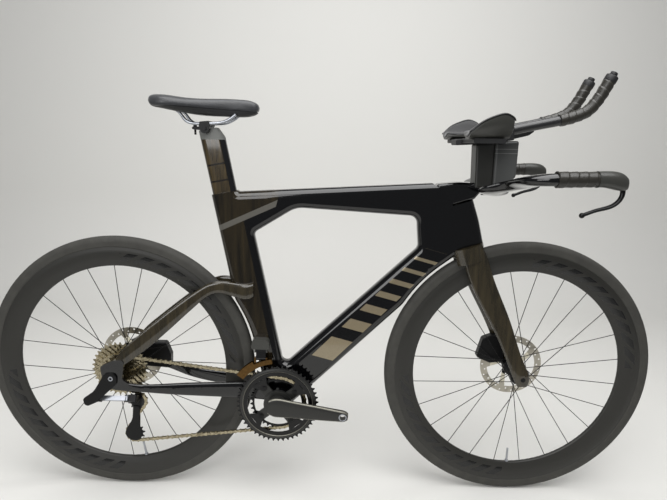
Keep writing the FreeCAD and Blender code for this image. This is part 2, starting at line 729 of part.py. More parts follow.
def arm_pad():
    """Left arm pad: a crowned foam cushion that fills the tray, with drawn-in ends."""
    wires = []
    sides = [0.25, 0.8, 1, 0.85, 0.3]
    stations = [(-15, 84, 138, 2, 8, 0.45), (-8, 80, 141, 1.5, 13, 0.85), (8, 78, 145, 0.5, 28.5, 1),
                (30, 76, 146.5, 0, 40, 1), (54, 77, 145.5, 0.5, 46, 1), (72, 83, 140, 2.5, 38, 0.85),
                (80, 87, 136, 3.5, 30, 0.45)]
    for x, inner, outer, lift, wall, full in stations:
        low = cup_curve(lift + CUP_THICK + 0.3, inner, outer, wall)
        high = []
        for (y, z), share in zip(low, sides):
            high.append((y, z + PAD_THICK * full * share))
        wires.append(band(x, low, high))
    return loft(wires)


def extension_bridge(seats):
    """Bridge on the column: a spine, a cross plate under the arm cups, and clamps round the tubes."""
    half = RISER_WIDTH / 2 - 2
    spine = plate([(cockpit(-15, 137), 3), (cockpit(70, 141.5), 20), (cockpit(150, 161), 10),
                   (cockpit(164, 171), 3), (cockpit(156, 177), 3), (cockpit(60, 160), 20),
                   (cockpit(-15, 149), 3)], -half, half)
    cross = plate([(cockpit(-2, 142), 3), (cockpit(66, 142), 3), (cockpit(66, 152), 3),
                   (cockpit(-2, 152), 3)], -128, 128)
    spread, reach = EXTENSION_SPREAD, EXTENSION_RADIUS + 5
    clamp = plate([(cockpit(66, 143), 4), (cockpit(104, 150), 4), (cockpit(101, 186), 8),
                   (cockpit(64, 178), 8)], spread - reach, spread + reach)
    link = plate([(cockpit(72, 146), 2), (cockpit(98, 150), 2), (cockpit(96, 166), 4),
                  (cockpit(72, 160), 4)], -spread, spread)
    body = spine.multiFuse([cross, link] + pair(clamp))
    return body.cut(Part.makeCompound(seats)).removeSplitter()


def rim(centre):
    """Deep rim with a rounded inner edge and a bed for the tyre."""
    half = RIM_WIDTH / 2
    return turned([
        (RIM_INNER, -4, 3.5), (RIM_INNER, 4, 3.5), (RIM_INNER + 20, half - 2.5, 60),
        (RIM_OUTER - 14, half, 30), (RIM_OUTER, half - 2, 1.2), (RIM_OUTER, half - 4.5, 1.0),
        (RIM_OUTER - 9, half - 6, 2.0), (RIM_OUTER - 9, 6 - half, 2.0), (RIM_OUTER, 4.5 - half, 1.0),
        (RIM_OUTER, 2 - half, 1.2), (RIM_OUTER - 14, -half, 30), (RIM_INNER + 20, 2.5 - half, 60)], centre)


def tyre(centre, wheel_rim):
    """Tyre: a ring of near-round section, seated in the rim's bed."""
    half = TYRE_WIDTH / 2
    ring = turned([
        (WHEEL_RADIUS, -half, half * 0.97), (WHEEL_RADIUS, half, half * 0.97),
        (RIM_OUTER - 1, half, 5), (RIM_OUTER - 10, half - 7, 2),
        (RIM_OUTER - 10, 7 - half, 2), (RIM_OUTER - 1, -half, 5)], centre)
    return ring.cut(wheel_rim)


def spokes(centre, turn, left_y, right_y):
    """Crossed spokes between the hub's flanges and the rim, half to each side."""
    cross = 2 * 720.0 / SPOKE_COUNT
    bars = []
    for i in range(SPOKE_COUNT):
        flange = left_y if i % 2 else right_y
        leading = (i // 2) % 2
        y = flange + (SPOKE_CROSS_GAP if leading else -SPOKE_CROSS_GAP)
        angle = -90 + turn + 360.0 * i / SPOKE_COUNT
        hub_angle = angle + (cross if leading else -cross)
        start = polar(centre, FLANGE_RADIUS - 1.5, hub_angle, y)
        bars.append(cylinder(SPOKE_RADIUS, start, polar(centre, RIM_INNER + SPOKE_SINK, angle)))
    return bars


def front_hub():
    """Front hub shell with two flanges, running on the axle."""
    bore = AXLE_RADIUS + RUNNING_GAP
    end = FORK_INSIDE - PART_GAP
    rotor = FRONT_ROTOR_Y - ROTOR_THICK / 2
    return turned([
        (bore, -end, 0.3), (9.5, -end, 0.5), (11, -36, 1), (FLANGE_RADIUS + 2, -35, 1.5),
        (FLANGE_RADIUS + 2, -25, 1.5), (12.5, -20, 8), (12.5, 13, 8), (FLANGE_RADIUS + 2, 17, 1.5),
        (FLANGE_RADIUS + 2, 27, 1.5), (17, rotor, 0.5), (10, rotor, 0.5), (9.5, end, 0.5),
        (bore, end, 0.3)], FRONT)


FREEHUB_INNER = 23.0


def rear_hub():
    """Rear hub shell with two flanges, running on the axle beside the freehub."""
    bore = AXLE_RADIUS + RUNNING_GAP
    end = DROPOUT_INSIDE - PART_GAP
    rotor = REAR_ROTOR_Y - ROTOR_THICK / 2
    low = -FREEHUB_INNER + PART_GAP
    return turned([
        (bore, low, 0.3), (18, low, 0.5), (FLANGE_RADIUS + 3, low + 3, 1.5), (FLANGE_RADIUS + 3, -11, 1.5),
        (15, -6, 8), (15, 27, 8), (FLANGE_RADIUS + 2, 30, 1.5), (FLANGE_RADIUS + 2, 40, 1.5),
        (18, rotor, 0.5), (10, rotor, 0.5), (10, end, 0.5), (bore, end, 0.3)], REAR)


def rotor(centre, y, carrier_radius):
    """Brake rotor: a holed band on slanted arms round a carrier."""
    low, high = y - ROTOR_THICK / 2, y + ROTOR_THICK / 2
    inside = ROTOR_RADIUS - ROTOR_BAND
    band_ring = across(ROTOR_RADIUS, centre, low, high).cut(across(inside, centre, low, high))
    carrier = across(23, centre, low, high)
    pieces = [carrier]
    holes = []
    arms = 5
    for i in range(arms):
        angle = 360.0 * i / arms
        corners = [(20, angle - 16), (20, angle + 16), (inside + 3, angle + 44), (inside + 3, angle + 30)]
        pieces.append(plate([(polar(centre, *corner), 1) for corner in corners], low, high))
    count = 30
    for i in range(count):
        radius = ROTOR_RADIUS - ROTOR_BAND * (0.3 if i % 2 else 0.66)
        holes.append(across(2.4, polar(centre, radius, 360.0 * i / count), low, high))
    holes.append(across(carrier_radius, centre, low, high))
    return band_ring.multiFuse(pieces).cut(Part.makeCompound(holes)).removeSplitter()


def valve(centre, turn):
    """Tyre valve with its locknut, standing out of the rim towards the hub."""
    angle = -90 + turn
    foot = polar(centre, RIM_INNER + 3, angle)
    tip = polar(centre, RIM_INNER - VALVE_LENGTH, angle)
    nut_low = polar(centre, RIM_INNER - 3.5, angle)
    nut = cylinder(VALVE_RADIUS + 2, nut_low, polar(centre, RIM_INNER - 0.5, angle))
    return cylinder(VALVE_RADIUS, foot, tip).fuse(nut).removeSplitter()


def pitch_radius(teeth):
    return PITCH / (2 * math.sin(math.pi / teeth))


def toothed_wire(teeth, phase):
    """Sprocket outline: round roller seats on the pitch circle, and straight-sided teeth between."""
    radius = pitch_radius(teeth)
    seat = ROLLER_RADIUS + SEAT_GAP
    spread = 65.0
    step = 360.0 / teeth
    tip_radius = radius + TOOTH_RISE
    tip_half = math.degrees(TOOTH_TIP_HALF / tip_radius)
    origin = V(0, 0, 0)
    edges = []
    for i in range(teeth):
        angle = phase + i * step
        middle = polar(origin, radius, angle)
        start = polar(middle, seat, angle + 180 + spread)
        bottom = polar(middle, seat, angle + 180)
        end = polar(middle, seat, angle + 180 - spread)
        rise = polar(origin, tip_radius, angle + step / 2 - tip_half)
        fall = polar(origin, tip_radius, angle + step / 2 + tip_half)
        following = polar(polar(origin, radius, angle + step), seat, angle + step + 180 + spread)
        edges.append(Part.Arc(start, bottom, end).toShape())
        edges.append(Part.LineSegment(end, rise).toShape())
        edges.append(Part.LineSegment(rise, fall).toShape())
        edges.append(Part.LineSegment(fall, following).toShape())
    return Part.Wire(edges)


def sprocket(teeth, phase, centre, y, thick, bore):
    face = Part.Face(toothed_wire(teeth, phase))
    face.translate(V(centre.x, y - thick / 2, centre.z))
    disc = face.extrude(V(0, thick, 0))
    return disc.cut(across(bore, centre, y - thick, y + thick))


def tangent_angles(first, first_radius, second, second_radius, first_turn, second_turn):
    """Angles of the points where the chain leaves one wheel and joins the next.

    A turn is +1 where the chain goes round with rising angle, and -1 the other way.
    """
    line = second - first
    distance = line.Length
    heading = math.atan2(line.z, line.x)
    offset = math.asin((first_turn * first_radius - second_turn * second_radius) / distance)
    normal = heading + offset - math.pi / 2
    leave = normal if first_turn > 0 else normal + math.pi
    join = normal if second_turn > 0 else normal + math.pi
    return leave, join


def chain_wheels(swing):
    """Centres, tooth counts and turns of the wheels that the chain passes, at a swing of the cage."""
    pivot = rear(*CAGE_PIVOT)
    turn = FreeCAD.Rotation(LEFT, swing)
    guide = pivot + turn.multVec(rear(*GUIDE_PLACE) - pivot)
    tension = pivot + turn.multVec(rear(*TENSION_PLACE) - pivot)
    return [(BB, SMALL_TEETH, -1), (tension, PULLEY_TEETH, -1), (guide, PULLEY_TEETH, 1),
            (REAR, DRIVEN_COG, -1)]


def chain_path(swing):
    """The chain's loop as (kind, wheel, length, start, end or turn), back along the lower run."""
    wheels = chain_wheels(swing)
    count = len(wheels)
    leaves, joins = [], []
    for i in range(count):
        centre, teeth, turn = wheels[i]
        next_centre, next_teeth, next_turn = wheels[(i + 1) % count]
        leave, join = tangent_angles(centre, pitch_radius(teeth), next_centre,
                                     pitch_radius(next_teeth), turn, next_turn)
        leaves.append(leave)
        joins.append(join)
    path = []
    for i in range(count):
        centre, teeth, turn = wheels[i]
        radius = pitch_radius(teeth)
        start, end = joins[i - 1], leaves[i]
        swept_angle = (turn * (end - start)) % (2 * math.pi)
        path.append(("arc", i, swept_angle * radius, start, turn))
        next_centre, next_teeth, next_turn = wheels[(i + 1) % count]
        a = polar(centre, radius, math.degrees(end))
        b = polar(next_centre, pitch_radius(next_teeth), math.degrees(joins[i]))
        path.append(("run", i, (b - a).Length, a, b))
    return wheels, path


def path_point(wheels, path, distance):
    """The point at a distance along the loop."""
    for kind, wheel, length, start, end in path:
        if distance <= length:
            if kind == "run":
                return start + (end - start) * (distance / length)
            centre, teeth, turn = wheels[wheel]
            radius = pitch_radius(teeth)
            return polar(centre, radius, math.degrees(start + turn * distance / radius))
        distance -= length
    return path_point(wheels, path, distance)


def step_pins(swing, count):
    """Distances along the loop of pins that lie one pitch apart in a straight line."""
    wheels, path = chain_path(swing)
    distances = [0.0]
    for _ in range(count):
        here = path_point(wheels, path, distances[-1])
        low, high = distances[-1] + 0.9 * PITCH, distances[-1] + 1.2 * PITCH
        for _ in range(40):
            middle = (low + high) / 2
            if (path_point(wheels, path, middle) - here).Length > PITCH:
                high = middle
            else:
                low = middle
        distances.append((low + high) / 2)
    return distances


def loop_length(swing):
    return sum(part[2] for part in chain_path(swing)[1])


def solve_swing():
    """Cage swing that takes up the chain's slack with an even number of links."""
    count = 2 * round(loop_length(0) / PITCH / 2)
    low, high = -12.0, 12.0
    rising = loop_length(high) > loop_length(low)
    for _ in range(30):
        middle = (low + high) / 2
        too_long = loop_length(middle) > step_pins(middle, count)[-1]
        if too_long == rising:
            high = middle
        else:
            low = middle
    return (low + high) / 2, count


CAGE_SWING, LINKS = solve_swing()
CHAIN_WHEELS, CHAIN_PATH = chain_path(CAGE_SWING)


PIN_DISTANCES = step_pins(CAGE_SWING, LINKS)


def chain_point(number):
    """Where pin number lies along the loop."""
    return path_point(CHAIN_WHEELS, CHAIN_PATH, PIN_DISTANCES[number])


def wheel_phase(wheel):
    """Angle in degrees of a roller seat on a chain wheel, from a pin in the middle of its arc."""
    passed = 0.0
    for kind, index, length, start, turn in CHAIN_PATH:
        if kind == "arc" and index == wheel:
            middle = passed + length / 2
            nearest = min(PIN_DISTANCES, key=lambda distance: abs(distance - middle))
            radius = pitch_radius(CHAIN_WHEELS[wheel][1])
            return math.degrees(start + turn * (nearest - passed) / radius)
        passed += length


def link_plate(y, thick):
    """One chain side plate, centred between its two pins on the X axis."""
    half = PITCH / 2
    body = Part.makeCylinder(PLATE_HALF, thick, V(-half, y, 0), LEFT)
    body = body.fuse(Part.makeCylinder(PLATE_HALF, thick, V(half, y, 0), LEFT))
    waist = Part.makeBox(PITCH, thick, 1.5 * PLATE_HALF, V(-half, y, -0.75 * PLATE_HALF))
    return body.fuse(waist)


def chain():
    """Closed loop of inner and outer links, each one solid."""
    outer_low = INNER_GAP + PLATE_THICK + RUNNING_GAP
    half = PITCH / 2
    ends = (-half, half)
    width = 2 * (outer_low + PLATE_THICK)
    pins = [Part.makeCylinder(PIN_RADIUS, width, V(x, -width / 2, 0), LEFT) for x in ends]
    outer = link_plate(outer_low, PLATE_THICK)
    outer = outer.multiFuse([link_plate(-outer_low - PLATE_THICK, PLATE_THICK)] + pins).removeSplitter()
    rollers = [Part.makeCylinder(ROLLER_RADIUS, 2 * INNER_GAP, V(x, -INNER_GAP, 0), LEFT) for x in ends]
    inner = link_plate(INNER_GAP, PLATE_THICK)
    inner = inner.multiFuse([link_plate(-INNER_GAP - PLATE_THICK, PLATE_THICK)] + rollers)
    bores = [Part.makeCylinder(PIN_RADIUS + 2 * RUNNING_GAP, 20, V(x, -10, 0), LEFT) for x in ends]
    inner = inner.cut(Part.makeCompound(bores)).removeSplitter()
    links = []
    for i in range(LINKS):
        a, b = chain_point(i), chain_point((i + 1) % LINKS)
        angle = -math.degrees(math.atan2(b.z - a.z, b.x - a.x))
        link = (outer if i % 2 else inner).copy()
        middle = (a + b) * 0.5
        link.Placement = FreeCAD.Placement(V(middle.x, CHAIN_Y, middle.z), FreeCAD.Rotation(LEFT, angle))
        links.append(link)
    return links


def cassette():
    """Sprockets side by side on the freehub body, held by a lockring."""
    position = CASSETTE_TEETH.index(DRIVEN_COG)
    first_y = CHAIN_Y - position * COG_STEP
    pieces = []
    phase = wheel_phase(3)
    for i, teeth in enumerate(CASSETTE_TEETH):
        y = first_y + i * COG_STEP
        disc = sprocket(teeth, phase, REAR, y, TOOTH_THICK, FREEHUB_RADIUS)
        if teeth > 18:
            holes = []
            reach = pitch_radius(teeth) - FREEHUB_RADIUS - 8
            hole = reach * 0.32
            count = 6
            for k in range(count):
                place = polar(REAR, FREEHUB_RADIUS + 3 + reach / 2, 360.0 * k / count + 9 * i)
                holes.append(across(hole, place, y - 3, y + 3))
            disc = disc.cut(Part.makeCompound(holes))
        pieces.append(disc)
    bore = AXLE_RADIUS + RUNNING_GAP
    outer_end = first_y - TOOTH_THICK / 2
    body = turned([(bore, outer_end, 0.3), (FREEHUB_RADIUS, outer_end, 0.3),
                   (FREEHUB_RADIUS, -FREEHUB_INNER, 0.3), (bore, -FREEHUB_INNER, 0.3)], REAR)
    lock_end = outer_end - 2.2
    lockring = turned([(13, lock_end, 0.4), (19, lock_end, 0.6), (19, outer_end, 0.1),
                       (13, outer_end, 0.1)], REAR)
    spacers = []
    for i in range(len(CASSETTE_TEETH) - 1):
        low = first_y + i * COG_STEP + TOOTH_THICK / 2
        spacers.append(across(FREEHUB_RADIUS + 2.5, REAR, low, low + COG_STEP - TOOTH_THICK).cut(
            across(FREEHUB_RADIUS, REAR, low - 1, low + COG_STEP)))
    return pieces + spacers + [body, lockring]


def ring_bolt_places():
    return [polar(BB, BOLT_CIRCLE, CRANK_ANGLE + 45 + 90 * i) for i in range(4)]


def chainring(teeth, phase, y, thick):
    """Toothed ring with four bolt tabs."""
    root = pitch_radius(teeth) - ROLLER_RADIUS
    inside = min(root - 5, RING_INSIDE)
    disc = sprocket(teeth, phase, BB, y, thick, inside)
    low, high = y - thick / 2, y + thick / 2
    tabs = []
    for i in range(4):
        angle = CRANK_ANGLE + 45 + 90 * i
        tabs.append(plate([
            (polar(BB, BOLT_CIRCLE - 7, angle - 6), 3), (polar(BB, BOLT_CIRCLE - 7, angle + 6), 3),
            (polar(BB, inside + 2, angle + 17), 1), (polar(BB, inside + 2, angle - 17), 1)], low, high))
    disc = disc.multiFuse(tabs)
    holes = [across(4, place, low, high) for place in ring_bolt_places()]
    return disc.cut(Part.makeCompound(holes)).removeSplitter()


def chainring_bolts():
    bolts = []
    low, high = BIG_RING_Y - 1.0, CHAIN_Y + 0.85
    for place in ring_bolt_places():
        bolt = across(4, place, low, high)
        head = across(5.5, place, low - 1.6, low)
        bolts.append(bolt.fuse(head).removeSplitter())
    return bolts


def crank_arm(side, angle):
    """Crank arm: a tapering beam from the axle boss to the pedal boss."""
    along = polar(V(0, 0, 0), 1, angle)
    width_way = along.cross(LEFT)
    inner, outer = side * CRANK_INSIDE, side * CRANK_OUTSIDE
    middle = (inner + outer) / 2
    half = abs(outer - inner) / 2
    wires = []
    stations = [(-22, 18, 1.5, 1), (0, 25, 1.5, 0.5), (38, 22.5, 1, 1), (CRANK_LENGTH * 0.6, 19, 0, 1),
                (CRANK_LENGTH - 12, 15.5, 0, 0), (CRANK_LENGTH, 14.5, 0, 0), (CRANK_LENGTH + 13, 8.5, 0, 1.5)]
    for reach, wide, inboard, thinner in stations:
        place = BB + along * reach + V(0, middle - side * inboard, 0)
        wires.append(oval(place, width_way, LEFT, wide, half - thinner, 3.0))
    arm = loft(wires)
    pedal = BB + along * CRANK_LENGTH
    boss = across(PEDAL_BOSS_RADIUS, pedal, *sorted((inner - side * 0.6, outer)))
    hole = across(PEDAL_HOLE_RADIUS, pedal, *sorted((inner - side * 5, outer + side * 5)))
    return arm.fuse(boss).cut(hole).removeSplitter()


def crank_right():
    """Right arm with its four-armed spider and the spindle fixed in it."""
    arm = crank_arm(-1, CRANK_ANGLE)
    small_face = CHAIN_Y - 0.85
    big_face = BIG_RING_Y + 1.0
    cup_face = -(BB_SHELL_WIDTH / 2 + 1.5 + PART_GAP)
    boss = across(CRANK_BOSS_RADIUS, BB, -CRANK_INSIDE - 4, cup_face)
    spider = []
    for i in range(4):
        angle = CRANK_ANGLE + 45 + 90 * i
        tip = BOLT_CIRCLE + 7
        corners = [(polar(BB, 14, angle - 60), 3), (polar(BB, tip, angle - 11), 5),
                   (polar(BB, tip, angle + 11), 5), (polar(BB, 14, angle + 60), 3)]
        spider.append(plate(corners, big_face, small_face))
    collar = across(BB_SHELL_RADIUS + 1, BB, cup_face, small_face + 5)
    hub = across(SPIDER_HUB_RADIUS, BB, min(cup_face, small_face) - SPIDER_HUB_WALL, small_face)
    body = arm.multiFuse([boss, hub] + spider)
    holes = [across(4, place, big_face, small_face) for place in ring_bolt_places()]
    body = body.cut(Part.makeCompound(holes + [collar]))
    spindle = across(SPINDLE_RADIUS, BB, -CRANK_INSIDE, SPINDLE_END)
    return body.fuse(spindle).removeSplitter()


def crank_left():
    """Left arm, bored for the spindle's end."""
    arm = crank_arm(1, CRANK_ANGLE + 180)
    boss = across(CRANK_BOSS_RADIUS, BB, BB_SHELL_WIDTH / 2 + 1.5 + PART_GAP, CRANK_INSIDE + 4)
    return arm.fuse(boss).cut(across(SPINDLE_RADIUS, BB, 0, SPINDLE_END)).removeSplitter()


# Rear derailleur: a slanted parallelogram behind and below the axle
SLANT = math.radians(LINK_SLANT)
LINK_AXIS = V(0, math.sin(SLANT), math.cos(SLANT))
LINK_INWARD = V(0, math.cos(SLANT), -math.sin(SLANT))
MOUNT_MIDDLE = rear(-42, -63, -62)
KNUCKLE_MIDDLE = MOUNT_MIDDLE + FORWARD * LINK_LENGTH


def link_pivot(middle, side):
    """Pivot of the outer (-1) or inner (+1) link at one end of the parallelogram."""
    return middle + LINK_INWARD * (side * LINK_SPLIT / 2)


def slanted_box(middle, x, across_half, axis_half):
    """Block along the link axis: x is (low, high) forward of a middle point."""
    corners = []
    for along, sideways in [(x[0], -1), (x[1], -1), (x[1], 1), (x[0], 1)]:
        point = middle + FORWARD * along + LINK_INWARD * (sideways * across_half) - LINK_AXIS * axis_half
        corners.append((point, 3.0))
    return Part.Face(rounded(corners)).extrude(LINK_AXIS * (2 * axis_half))


def knuckle(middle, ahead):
    """Forked block that holds the two link pins; ahead is +1 if the block lies in front of them."""
    reach = LINK_HALF_HEIGHT + SLIDE_GAP + EAR_THICK
    low, high = sorted((-ahead * (LINK_EYE + 1.5), ahead * 24))
    body = slanted_box(middle, (low, high), LINK_SPLIT / 2 + KNUCKLE_WALL, reach)
    inside = sorted((-ahead * 30, ahead * (LINK_EYE + 1.5)))
    body = body.cut(slanted_box(middle, inside, 40, LINK_HALF_HEIGHT + SLIDE_GAP))
    for side in (-1, 1):
        place = link_pivot(middle, side)
        body = body.fuse(cylinder(LINK_PIN_RADIUS, place - LINK_AXIS * reach, place + LINK_AXIS * reach))
    return body


def derailleur_mount():
    """Upper knuckle, with the boss that bolts to the hanger."""
    body = knuckle(MOUNT_MIDDLE, -1)
    boss_place = rear(-59, -64)
    boss = across(8, boss_place, -DROPOUT_OUTSIDE, MOUNT_MIDDLE.y)
    return body.fuse(boss).removeSplitter()


def derailleur_link(side):
    start, end = link_pivot(MOUNT_MIDDLE, side), link_pivot(KNUCKLE_MIDDLE, side)
    half = LINK_THICK / 2
    low = LINK_AXIS * -LINK_HALF_HEIGHT
    wire = Part.makePolygon([start + LINK_INWARD * half + low, end + LINK_INWARD * half + low,
                             end - LINK_INWARD * half + low, start - LINK_INWARD * half + low,
                             start + LINK_INWARD * half + low])
    body = Part.Face(wire).extrude(LINK_AXIS * (2 * LINK_HALF_HEIGHT))
    for place in (start, end):
        body = body.fuse(cylinder(LINK_EYE, place + low, place - low))
    for place in (start, end):
        body = body.cut(cylinder(LINK_PIN_RADIUS + RUNNING_GAP, place + low * 2, place - low * 2))
    return body.removeSplitter()


CAGE_AXIS = rear(*CAGE_PIVOT)
CAGE_PIN_RADIUS = 4.0
CAGE_OUTSIDE = CHAIN_Y - CAGE_HALF_GAP - CAGE_PLATE


def derailleur_knuckle():
    """Lower knuckle, bored for the cage's pivot."""
    body = knuckle(KNUCKLE_MIDDLE, 1)
    boss = across(8.5, CAGE_AXIS, KNUCKLE_MIDDLE.y - 4, CAGE_OUTSIDE - PART_GAP)
    bore = across(CAGE_PIN_RADIUS + RUNNING_GAP, CAGE_AXIS, CAGE_OUTSIDE - 8, CAGE_OUTSIDE + 5)
    return body.fuse(boss).cut(bore).removeSplitter()


def pulley_places():
    return CHAIN_WHEELS[2][0], CHAIN_WHEELS[1][0]


def cage_plate(y):
    """One cage plate, reaching from the pivot over both pulleys."""
    guide, tension = pulley_places()
    along = tension - guide
    along.normalize()
    beside = along.cross(LEFT)
    corners = [
        (guide - along * 14 + beside * 9, 7), (guide - along * 14 - beside * 9, 7),
        (guide + along * 38 - beside * 8, 30), (tension + along * 11 - beside * 11, 9),
        (tension + along * 11 + beside * 11, 9), (guide + along * 38 + beside * 8, 30)]
    return plate(corners, y, y + CAGE_PLATE)


def derailleur_cage():
    """Two cage plates, the pulley pins between them and the pivot pin."""
    guide, tension = pulley_places()
    outer = cage_plate(CAGE_OUTSIDE)
    hub = across(11, CAGE_AXIS, CAGE_OUTSIDE, CAGE_OUTSIDE + CAGE_PLATE)
    pivot = across(CAGE_PIN_RADIUS, CAGE_AXIS, CAGE_OUTSIDE - 7, CAGE_OUTSIDE + CAGE_PLATE)
    inner = cage_plate(CHAIN_Y + CAGE_HALF_GAP)
    pins = [across(2.5, place, CAGE_OUTSIDE, CHAIN_Y + CAGE_HALF_GAP + CAGE_PLATE)
            for place in (guide, tension)]
    return outer.multiFuse([hub, pivot, inner] + pins).removeSplitter()


def pulley(wheel):
    """Eleven-toothed pulley running on its pin."""
    centre = CHAIN_WHEELS[wheel][0]
    disc = sprocket(PULLEY_TEETH, wheel_phase(wheel), centre, CHAIN_Y, TOOTH_THICK, 2.5 + RUNNING_GAP)
    hub = across(7, centre, CHAIN_Y - 2.4, CHAIN_Y + 2.4)
    return disc.fuse(hub).cut(across(2.5 + RUNNING_GAP, centre, CHAIN_Y - 5, CHAIN_Y + 5)).removeSplitter()


# Front derailleur: a short link swings the cage out over the big ring
FD_UPPER = bracket(-42, 138, -34)
FD_LOWER = bracket(-42, 118, -38)
FD_HALF = 12.0
FD_EYE = 3.6


def along_x(radius, place, half):
    return cylinder(radius, place - FORWARD * half, place + FORWARD * half)


def block(low, high):
    size = high - low
    return Part.makeBox(size.x, size.y, size.z, low)


def derailleur_bracket(frame):
    """Front derailleur body on the seat tube, with two ears round the link's upper pin."""
    body = plate([(bracket(-66, 144), 6), (bracket(-20, 144), 6), (bracket(-22, 168), 8),
                  (bracket(-62, 170), 8)], -43, -12)
    ears = []
    for sign in (-1, 1):
        x = sign * (FD_HALF + SLIDE_GAP + 2)
        middle = FD_UPPER + V(x, 0, 0)
        ears.append(block(middle + V(-2, -4, -4), middle + V(2, 4, 12)))
    pin = along_x(LINK_PIN_RADIUS, FD_UPPER, FD_HALF + 4)
    return body.multiFuse(ears + [pin]).cut(frame).removeSplitter()


def front_link():
    along = FD_LOWER - FD_UPPER
    beside = along.cross(FORWARD)
    beside.normalize()
    start = FD_UPPER - FORWARD * FD_HALF
    end = FD_LOWER - FORWARD * FD_HALF
    wire = Part.makePolygon([start + beside * 3, end + beside * 3, end - beside * 3, start - beside * 3,
                             start + beside * 3])
    body = Part.Face(wire).extrude(FORWARD * (2 * FD_HALF))
    for place in (FD_UPPER, FD_LOWER):
        body = body.fuse(along_x(FD_EYE, place, FD_HALF))
    for place in (FD_UPPER, FD_LOWER):
        body = body.cut(along_x(LINK_PIN_RADIUS + RUNNING_GAP, place, FD_HALF + 5))
    return body.removeSplitter()


def sector(low_radius, high_radius, low_angle, high_angle, y_low, y_high):
    """Plate between two arcs about the bottom bracket."""
    angles = [low_angle, (low_angle + high_angle) / 2, high_angle]
    outer = [polar(BB, high_radius, angle, y_low) for angle in angles]
    inner = [polar(BB, low_radius, angle, y_low) for angle in reversed(angles)]
    edges = [Part.Arc(*outer), Part.LineSegment(outer[-1], inner[0]),
             Part.Arc(*inner), Part.LineSegment(inner[-1], outer[0])]
    wire = Part.Wire([edge.toShape() for edge in edges])
    return Part.Face(wire).extrude(V(0, y_high - y_low, 0))


def front_cage():
    """Two curved cage plates, their bridge and tail pin, and the ears on the link's lower pin."""
    clear = pitch_radius(BIG_TEETH) + 7
    inner_low = CHAIN_Y + FD_TRAVEL_GAP - FD_PLATE
    outer_low = CHAIN_Y - FD_TRAVEL_GAP
    pieces = []
    for y in (inner_low, outer_low):
        pieces.append(sector(clear, clear + 12, 97, 121, y, y + FD_PLATE))
        pieces.append(sector(clear, clear + 20, 119, 143, y, y + FD_PLATE))
    pieces.append(sector(clear + 3, clear + 5.5, 97, 122, outer_low, inner_low + FD_PLATE))
    pieces.append(across(1.6, polar(BB, clear + 2.5, 141), outer_low, inner_low + FD_PLATE))
    room = along_x(FD_EYE + PART_GAP, FD_LOWER, FD_HALF + SLIDE_GAP)
    pieces = [piece.cut(room) for piece in pieces]
    for sign in (-1, 1):
        x = sign * (FD_HALF + SLIDE_GAP + 2)
        middle = FD_LOWER + V(x, 0, 0)
        pieces.append(block(middle + V(-2, -4, -10), middle + V(2, 4, 4)))
    pieces.append(along_x(LINK_PIN_RADIUS, FD_LOWER, FD_HALF + 4))
    return pieces[0].multiFuse(pieces[1:]).removeSplitter()


def caliper(corners, centre, rotor_y, y_low, y_high, seats):
    """Brake caliper with a slot for the rotor, and a pad on each side of it."""
    body = soften(plate(corners, y_low, y_high), 3, (y_low, y_high))
    slot = ROTOR_THICK / 2 + 2.2
    gap = across(ROTOR_RADIUS + 2, centre, rotor_y - slot, rotor_y + slot)
    middle = corners[0][0] * 0
    for point, _ in corners:
        middle = middle + point
    middle = middle * (1.0 / len(corners))
    toward = middle - centre
    toward.normalize()
    place = centre + toward * (ROTOR_RADIUS - ROTOR_BAND / 2 - 1)
    pads = []
    for side in (-1, 1):
        near = rotor_y + side * (ROTOR_THICK / 2 + 0.4)
        far = rotor_y + side * slot
        pads.append(across(9, place, *sorted((near, far))))
    return [body.cut(gap).cut(Part.makeCompound(seats))] + pads


